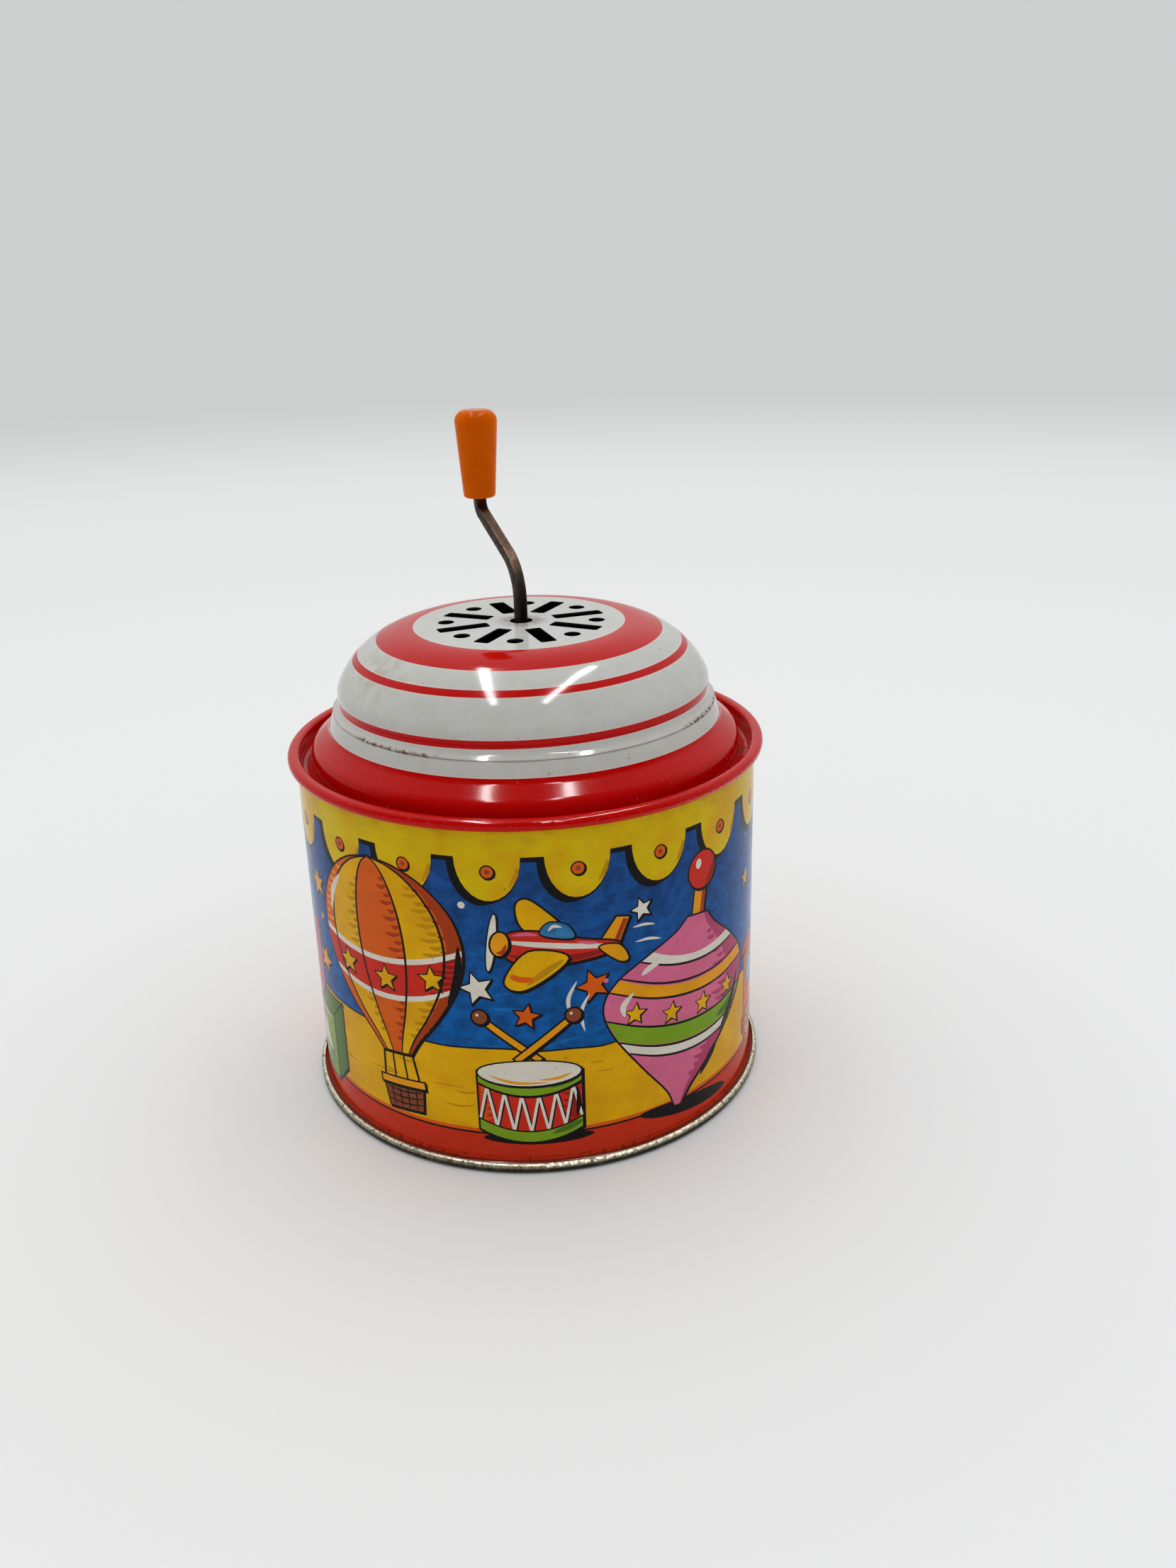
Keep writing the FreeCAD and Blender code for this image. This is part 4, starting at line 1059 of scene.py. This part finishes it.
def cut_print():
    """Cuts the unrolled wall along the edges of the print: its points, its cells and each cell's ink."""
    corners = []
    shapes = []
    for _, outline in print_layers:
        shapes.append(range(len(corners), len(corners) + len(outline)))
        corners += outline
    strips = [HALF * (2 * k / COLUMNS - 1) for k in range(1, COLUMNS)]
    cuts = [((a, WALL_LOW), (a, WALL_HIGH)) for a in strips]
    cuts += [((-HALF, v), (HALF, v)) for v in FLARE_LINES]
    edges = []
    for ends in cuts:
        edges.append((len(corners), len(corners) + 1))
        corners += [Vector(end) for end in ends]
    flat, _, cells, _, _, owners = delaunay_2d_cdt(corners, edges, shapes, 0, CUT_TOLERANCE)
    kept = [(list(cell), max(owner)) for cell, owner in zip(cells, owners) if 0 in owner]
    return flat, [cell for cell, _ in kept], [print_layers[top][0] for _, top in kept]


def bake_map(mesh, spots, printed):
    """Flat map of the wall: the print's two halves one above the other, the inner skin in a strip on top."""
    layer = mesh.uv_layers.new(name="OFBake")
    span = WALL_HIGH - WALL_LOW
    for polygon in mesh.polygons:
        middle = sum(spots[k][0] for k in polygon.vertices) / len(polygon.vertices)
        row = 0 if middle < 0 else 1
        for corner, vertex in zip(polygon.loop_indices, polygon.vertices):
            a, v, inner = spots[vertex]
            if polygon.index < printed:
                place = (a / HALF + 1 - row, (v - WALL_LOW) / HALF + MAP_ROW * row)
            else:
                start, height = MAP_INSIDE if inner else MAP_ENDS
                place = ((a / HALF + 1) / 2, start + height * (v - WALL_LOW) / span)
            layer.data[corner].uv = place


def printed_wall():
    """The can's wall as one closed sheet, its skin cut along the edges of the print."""
    flat, faces, inks = cut_print()
    printed = len(faces)
    vertices = [wall_place(p.x, p.y) for p in flat]
    spots = [(p.x, p.y, False) for p in flat]
    ends = []
    for v in (WALL_LOW, WALL_HIGH):
        ends.append(sorted((p.x, k) for k, p in enumerate(flat) if abs(p.y - v) < END_TOLERANCE))
    stations = [a for a, _ in ends[0]]
    rows = []
    for v in (WALL_LOW, *FLARE_LINES, WALL_HIGH):
        rows.append([len(vertices) + k for k in range(len(stations))])
        vertices += [wall_place(a, v, SHEET) for a in stations]
        spots += [(a, v, True) for a in stations]
    low, high = ([k for _, k in row] for row in ends)
    for first, second in zip([low, *rows], [*rows, high]):
        for k in range(len(stations) - 1):
            faces.append([first[k], second[k], second[k + 1], first[k + 1]])
    piece = new_piece("printed_wall", vertices, faces)
    mesh = piece.data
    layer = mesh.color_attributes.new("ink", "FLOAT_COLOR", "CORNER")
    inks += ["tin"] * (len(faces) - printed)
    for polygon, name in zip(mesh.polygons, inks):
        for corner in polygon.loop_indices:
            layer.data[corner].color = linear(INKS[name])
    bake_map(mesh, spots, printed)
    editor = bmesh.new()
    editor.from_mesh(mesh)
    bmesh.ops.remove_doubles(editor, verts=editor.verts, dist=WELD)
    bmesh.ops.recalc_face_normals(editor, faces=editor.faces)
    editor.to_mesh(mesh)
    editor.free()
    normals = []
    for polygon in mesh.polygons:
        for corner in polygon.vertices:
            outward = sheet_normal(mesh.vertices[corner].co)
            facing = polygon.normal.dot(outward)
            normals.append(polygon.normal if abs(facing) < CUT_FACE else outward * copysign(1, facing))
    mesh.polygons.foreach_set("use_smooth", [True] * len(mesh.polygons))
    mesh.normals_split_custom_set(normals)
    mesh.materials.append(printed_tin())
    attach(piece, "tin")
    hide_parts("body_wall")


def tube_faces(rings, count):
    """Quads between rings of count points each, with both ends closed."""
    faces = []
    for k in range(rings - 1):
        near = k * count
        for j in range(count):
            after = (j + 1) % count
            faces.append([near + j, near + after, near + count + after, near + count + j])
    last = (rings - 1) * count
    return faces + [list(range(count))[::-1], [last + j for j in range(count)]]


def rod_section():
    """Rounded square: (across, out, 1 on an edge painted lighter for wear and sheen)."""
    half = ROD_SIZE / 2
    flat = half - ROD_EDGE
    last = EDGE_POINTS - 1
    made = []
    for k, (x, y) in enumerate(((1, 1), (-1, 1), (-1, -1), (1, -1))):
        for step in range(EDGE_POINTS):
            angle = radians(90 * (k + step / last))
            wear_and_sheen = 1.0 if 0 < step < last else EDGE_WEAR_AND_SHEEN
            made.append((x * flat + ROD_EDGE * cos(angle), y * flat + ROD_EDGE * sin(angle), wear_and_sheen))
        made.append((half * cos(angle), half * sin(angle), 0.0))
    return made


def rod_path(dome_top, pin_foot, throw):
    """Middle line of the square rod: (out from the axis, height, lean)."""
    first = dome_top + ARM_START
    second = first + ARM_RISE
    slope = atan2(throw, ARM_RISE)

    def bend(radius):
        leans = [slope * k / BEND_STEPS for k in range(BEND_STEPS + 1)]
        drop = radius * tan(slope / 2)
        return [(radius * (1 - cos(lean)), radius * sin(lean) - drop, lean) for lean in leans]

    path = [(0.0, z, 0.0) for z in (SHAFT_TOP, dome_top - 1, dome_top + 2)]
    path += [(s, first + z, turn) for s, z, turn in bend(LOWER_BEND)]
    path += [(throw - s, second - z, turn) for s, z, turn in reversed(bend(UPPER_BEND))]
    return path + [(throw, pin_foot, 0.0)]


def crank_rod():
    """Square rod with worn, rounded edges painted lighter for wear and sheen, on its turned shaft, with the
    knob's pin on top.
    """
    dome_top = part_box("dome_cap")[1].z / MM
    knob_low, knob_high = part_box("crank_knob")
    throw_way = Vector(((knob_low.x + knob_high.x) / 2, (knob_low.y + knob_high.y) / 2, 0))
    throw = throw_way.length / MM
    out = throw_way.normalized()
    across = Vector((0, 0, 1)).cross(out)
    pin_foot = knob_low.z / MM - PIN_GAP
    path = rod_path(dome_top, pin_foot, throw)
    section = rod_section()
    vertices = []
    for s, z, turn in path:
        middle = out * s + Vector((0, 0, z))
        outward = out * cos(turn) - Vector((0, 0, sin(turn)))
        vertices += [(middle + outward * u + across * v) * MM for u, v, _ in section]
    faces = tube_faces(len(path), len(section))
    wear_and_sheen = [point[2] for point in section] * len(path)
    half = ROD_SIZE / 2
    shaft = [(half - SHAFT_CHAMFER, SHAFT_FOOT), (half, SHAFT_FOOT + SHAFT_CHAMFER), (half, SHAFT_TOP)]
    pin_top = pin_foot + PIN_LENGTH
    pin_end = pin_top + PIN_HEAD_HEIGHT
    pin = [(PIN_R, pin_foot), (PIN_R, pin_top), (PIN_HEAD_R, pin_top), (PIN_HEAD_R, pin_end)]
    for spot, profile in ((Vector((0, 0, 0)), shaft), (out * throw, pin)):
        first_corner = len(vertices)
        for radius, z in profile:
            ring = [Vector((radius * cos(turn), radius * sin(turn), z)) for turn in turns(SHAFT_SIDES)]
            vertices += [(spot + point) * MM for point in ring]
            wear_and_sheen += [0.0] * SHAFT_SIDES
        sides = tube_faces(len(profile), SHAFT_SIDES)
        faces += [[first_corner + corner for corner in face] for face in sides]
    piece = new_piece("crank_rod_worn", vertices, faces)
    mesh = piece.data
    layer = mesh.color_attributes.new("edge", "FLOAT_COLOR", "POINT")
    for k, share in enumerate(wear_and_sheen):
        layer.data[k].color = (share, share, share, 1.0)
    mesh.polygons.foreach_set("use_smooth", [len(polygon.vertices) == 4 for polygon in mesh.polygons])
    mesh.materials.append(dark_steel())
    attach(piece, "crank")
    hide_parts("crank_rod")


def dress(material, *nodes):
    """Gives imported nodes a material."""
    for node in nodes:
        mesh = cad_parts[node].data
        mesh.materials.clear()
        mesh.materials.append(material)


def dress_movement():
    metals = {
        ("brass", 0.32): (
            "drum_sleeve", "drum_gear", "drum_caps", "crank_pinion", "drum_bushes", "footstep_bearing",
            "crank_collar", "crank_bearing_tube",
        ),
        ("frame_steel", 0.36): (
            "frame_lower_plate", "frame_upper_plate", "frame_pillars", "movement_spacers", "drum_arbor",
            "comb_bracket", "comb_clamp",
        ),
        ("screw_steel", 0.3): (
            "mounting_screws", "pillar_screws", "bracket_screws", "comb_screws", "collar_screw",
        ),
        ("comb_steel", 0.26): ("comb",),
    }
    for metal, nodes in metals.items():
        dress(turned_metal(*metal), *nodes)


# Stage, light and camera

def floor():
    rim = [Vector((cos(turn), sin(turn), 0)) * FLOOR_R * MM for turn in turns(FLOOR_SIDES)]
    piece = new_piece("floor", rim, [list(range(FLOOR_SIDES))])
    piece.data.materials.append(floor_paper())


def soft_sky():
    """Soft light that grows upwards; the camera and shiny pieces see the plain backdrop instead."""
    world = bpy.data.worlds.new("studio")
    bpy.context.scene.world = world
    world.use_nodes = True
    sky = Nodes(world.node_tree)
    _, back, up = sky.split(sky.node("TexCoord").outputs["Generated"])
    above = sky.most(up, 0.0)
    rays = sky.node("LightPath").outputs
    camera_ray = rays["Is Camera Ray"]
    mirrored = sky.most(rays["Is Glossy Ray"], rays["Is Transmission Ray"])
    seen = sky.most(camera_ray, mirrored)
    unseen = sky.math("SUBTRACT", 1.0, seen)
    rising = sky.plus(SKY_LOW, sky.times(above, SKY_RISE))
    soft = sky.times(rising, sky.plus(1.0, sky.times(back, SKY_BACK)))
    brighter = sky.plus(1.0, sky.times(above, PALE_RISE))
    glossy = sky.times(sky.ramp(back, *PALE_FADE, PALE_FRONT, 1.0), brighter)
    strength = sky.plus(sky.times(soft, unseen), sky.times(glossy, mirrored), camera_ray)
    colour = sky.blend(seen, "light", "backdrop")
    shown = sky.node("Background", {"Color": colour, "Strength": strength}).outputs["Background"]
    sky.node("OutputWorld", {"Surface": shown})


def strip_lamps():
    """Two ceiling strips that show only as highlights on shiny pieces."""
    for name, ends in STRIPS.items():
        front, back = (Vector((x, y, STRIP_HEIGHT)) * MM for x, y in ends)
        way = back - front
        lamp = bpy.data.lights.new(name, "AREA")
        lamp.shape = "RECTANGLE"
        lamp.size = STRIP_WIDTH * MM
        lamp.size_y = way.length
        lamp.energy = STRIP_POWER
        strip = bpy.data.objects.new(name, lamp)
        strip.location = (front + back) / 2
        strip.rotation_euler.z = atan2(way.y, way.x) - pi / 2
        strip.visible_diffuse = False
        bpy.context.scene.collection.objects.link(strip)


def camera():
    data = bpy.data.cameras.new("camera")
    data.lens = CAMERA_LENS
    data.clip_start, data.clip_end = (reach * MM for reach in CAMERA_REACH)
    piece = bpy.data.objects.new("camera", data)
    place = Matrix.Translation(Vector((0, -CAMERA_BACK, CAMERA_HEIGHT)) * MM)
    for angle, axis in ((-CAMERA_YAW, "Z"), (pi / 2 - CAMERA_PITCH, "X"), (-CAMERA_ROLL, "Z")):
        place @= Matrix.Rotation(angle, 4, axis)
    piece.matrix_world = place
    bpy.context.scene.collection.objects.link(piece)
    bpy.context.scene.camera = piece


bpy.context.scene.view_settings.view_transform = "Standard"
draw_print()
printed_wall()
crank_rod()
dress(band_lacquer(), "dome_cap", "shoulder_ring")
dress(bare_tin(), "base_plate")
dress(orange_plastic(), "crank_knob")
dress_movement()
floor()
soft_sky()
strip_lamps()
camera()
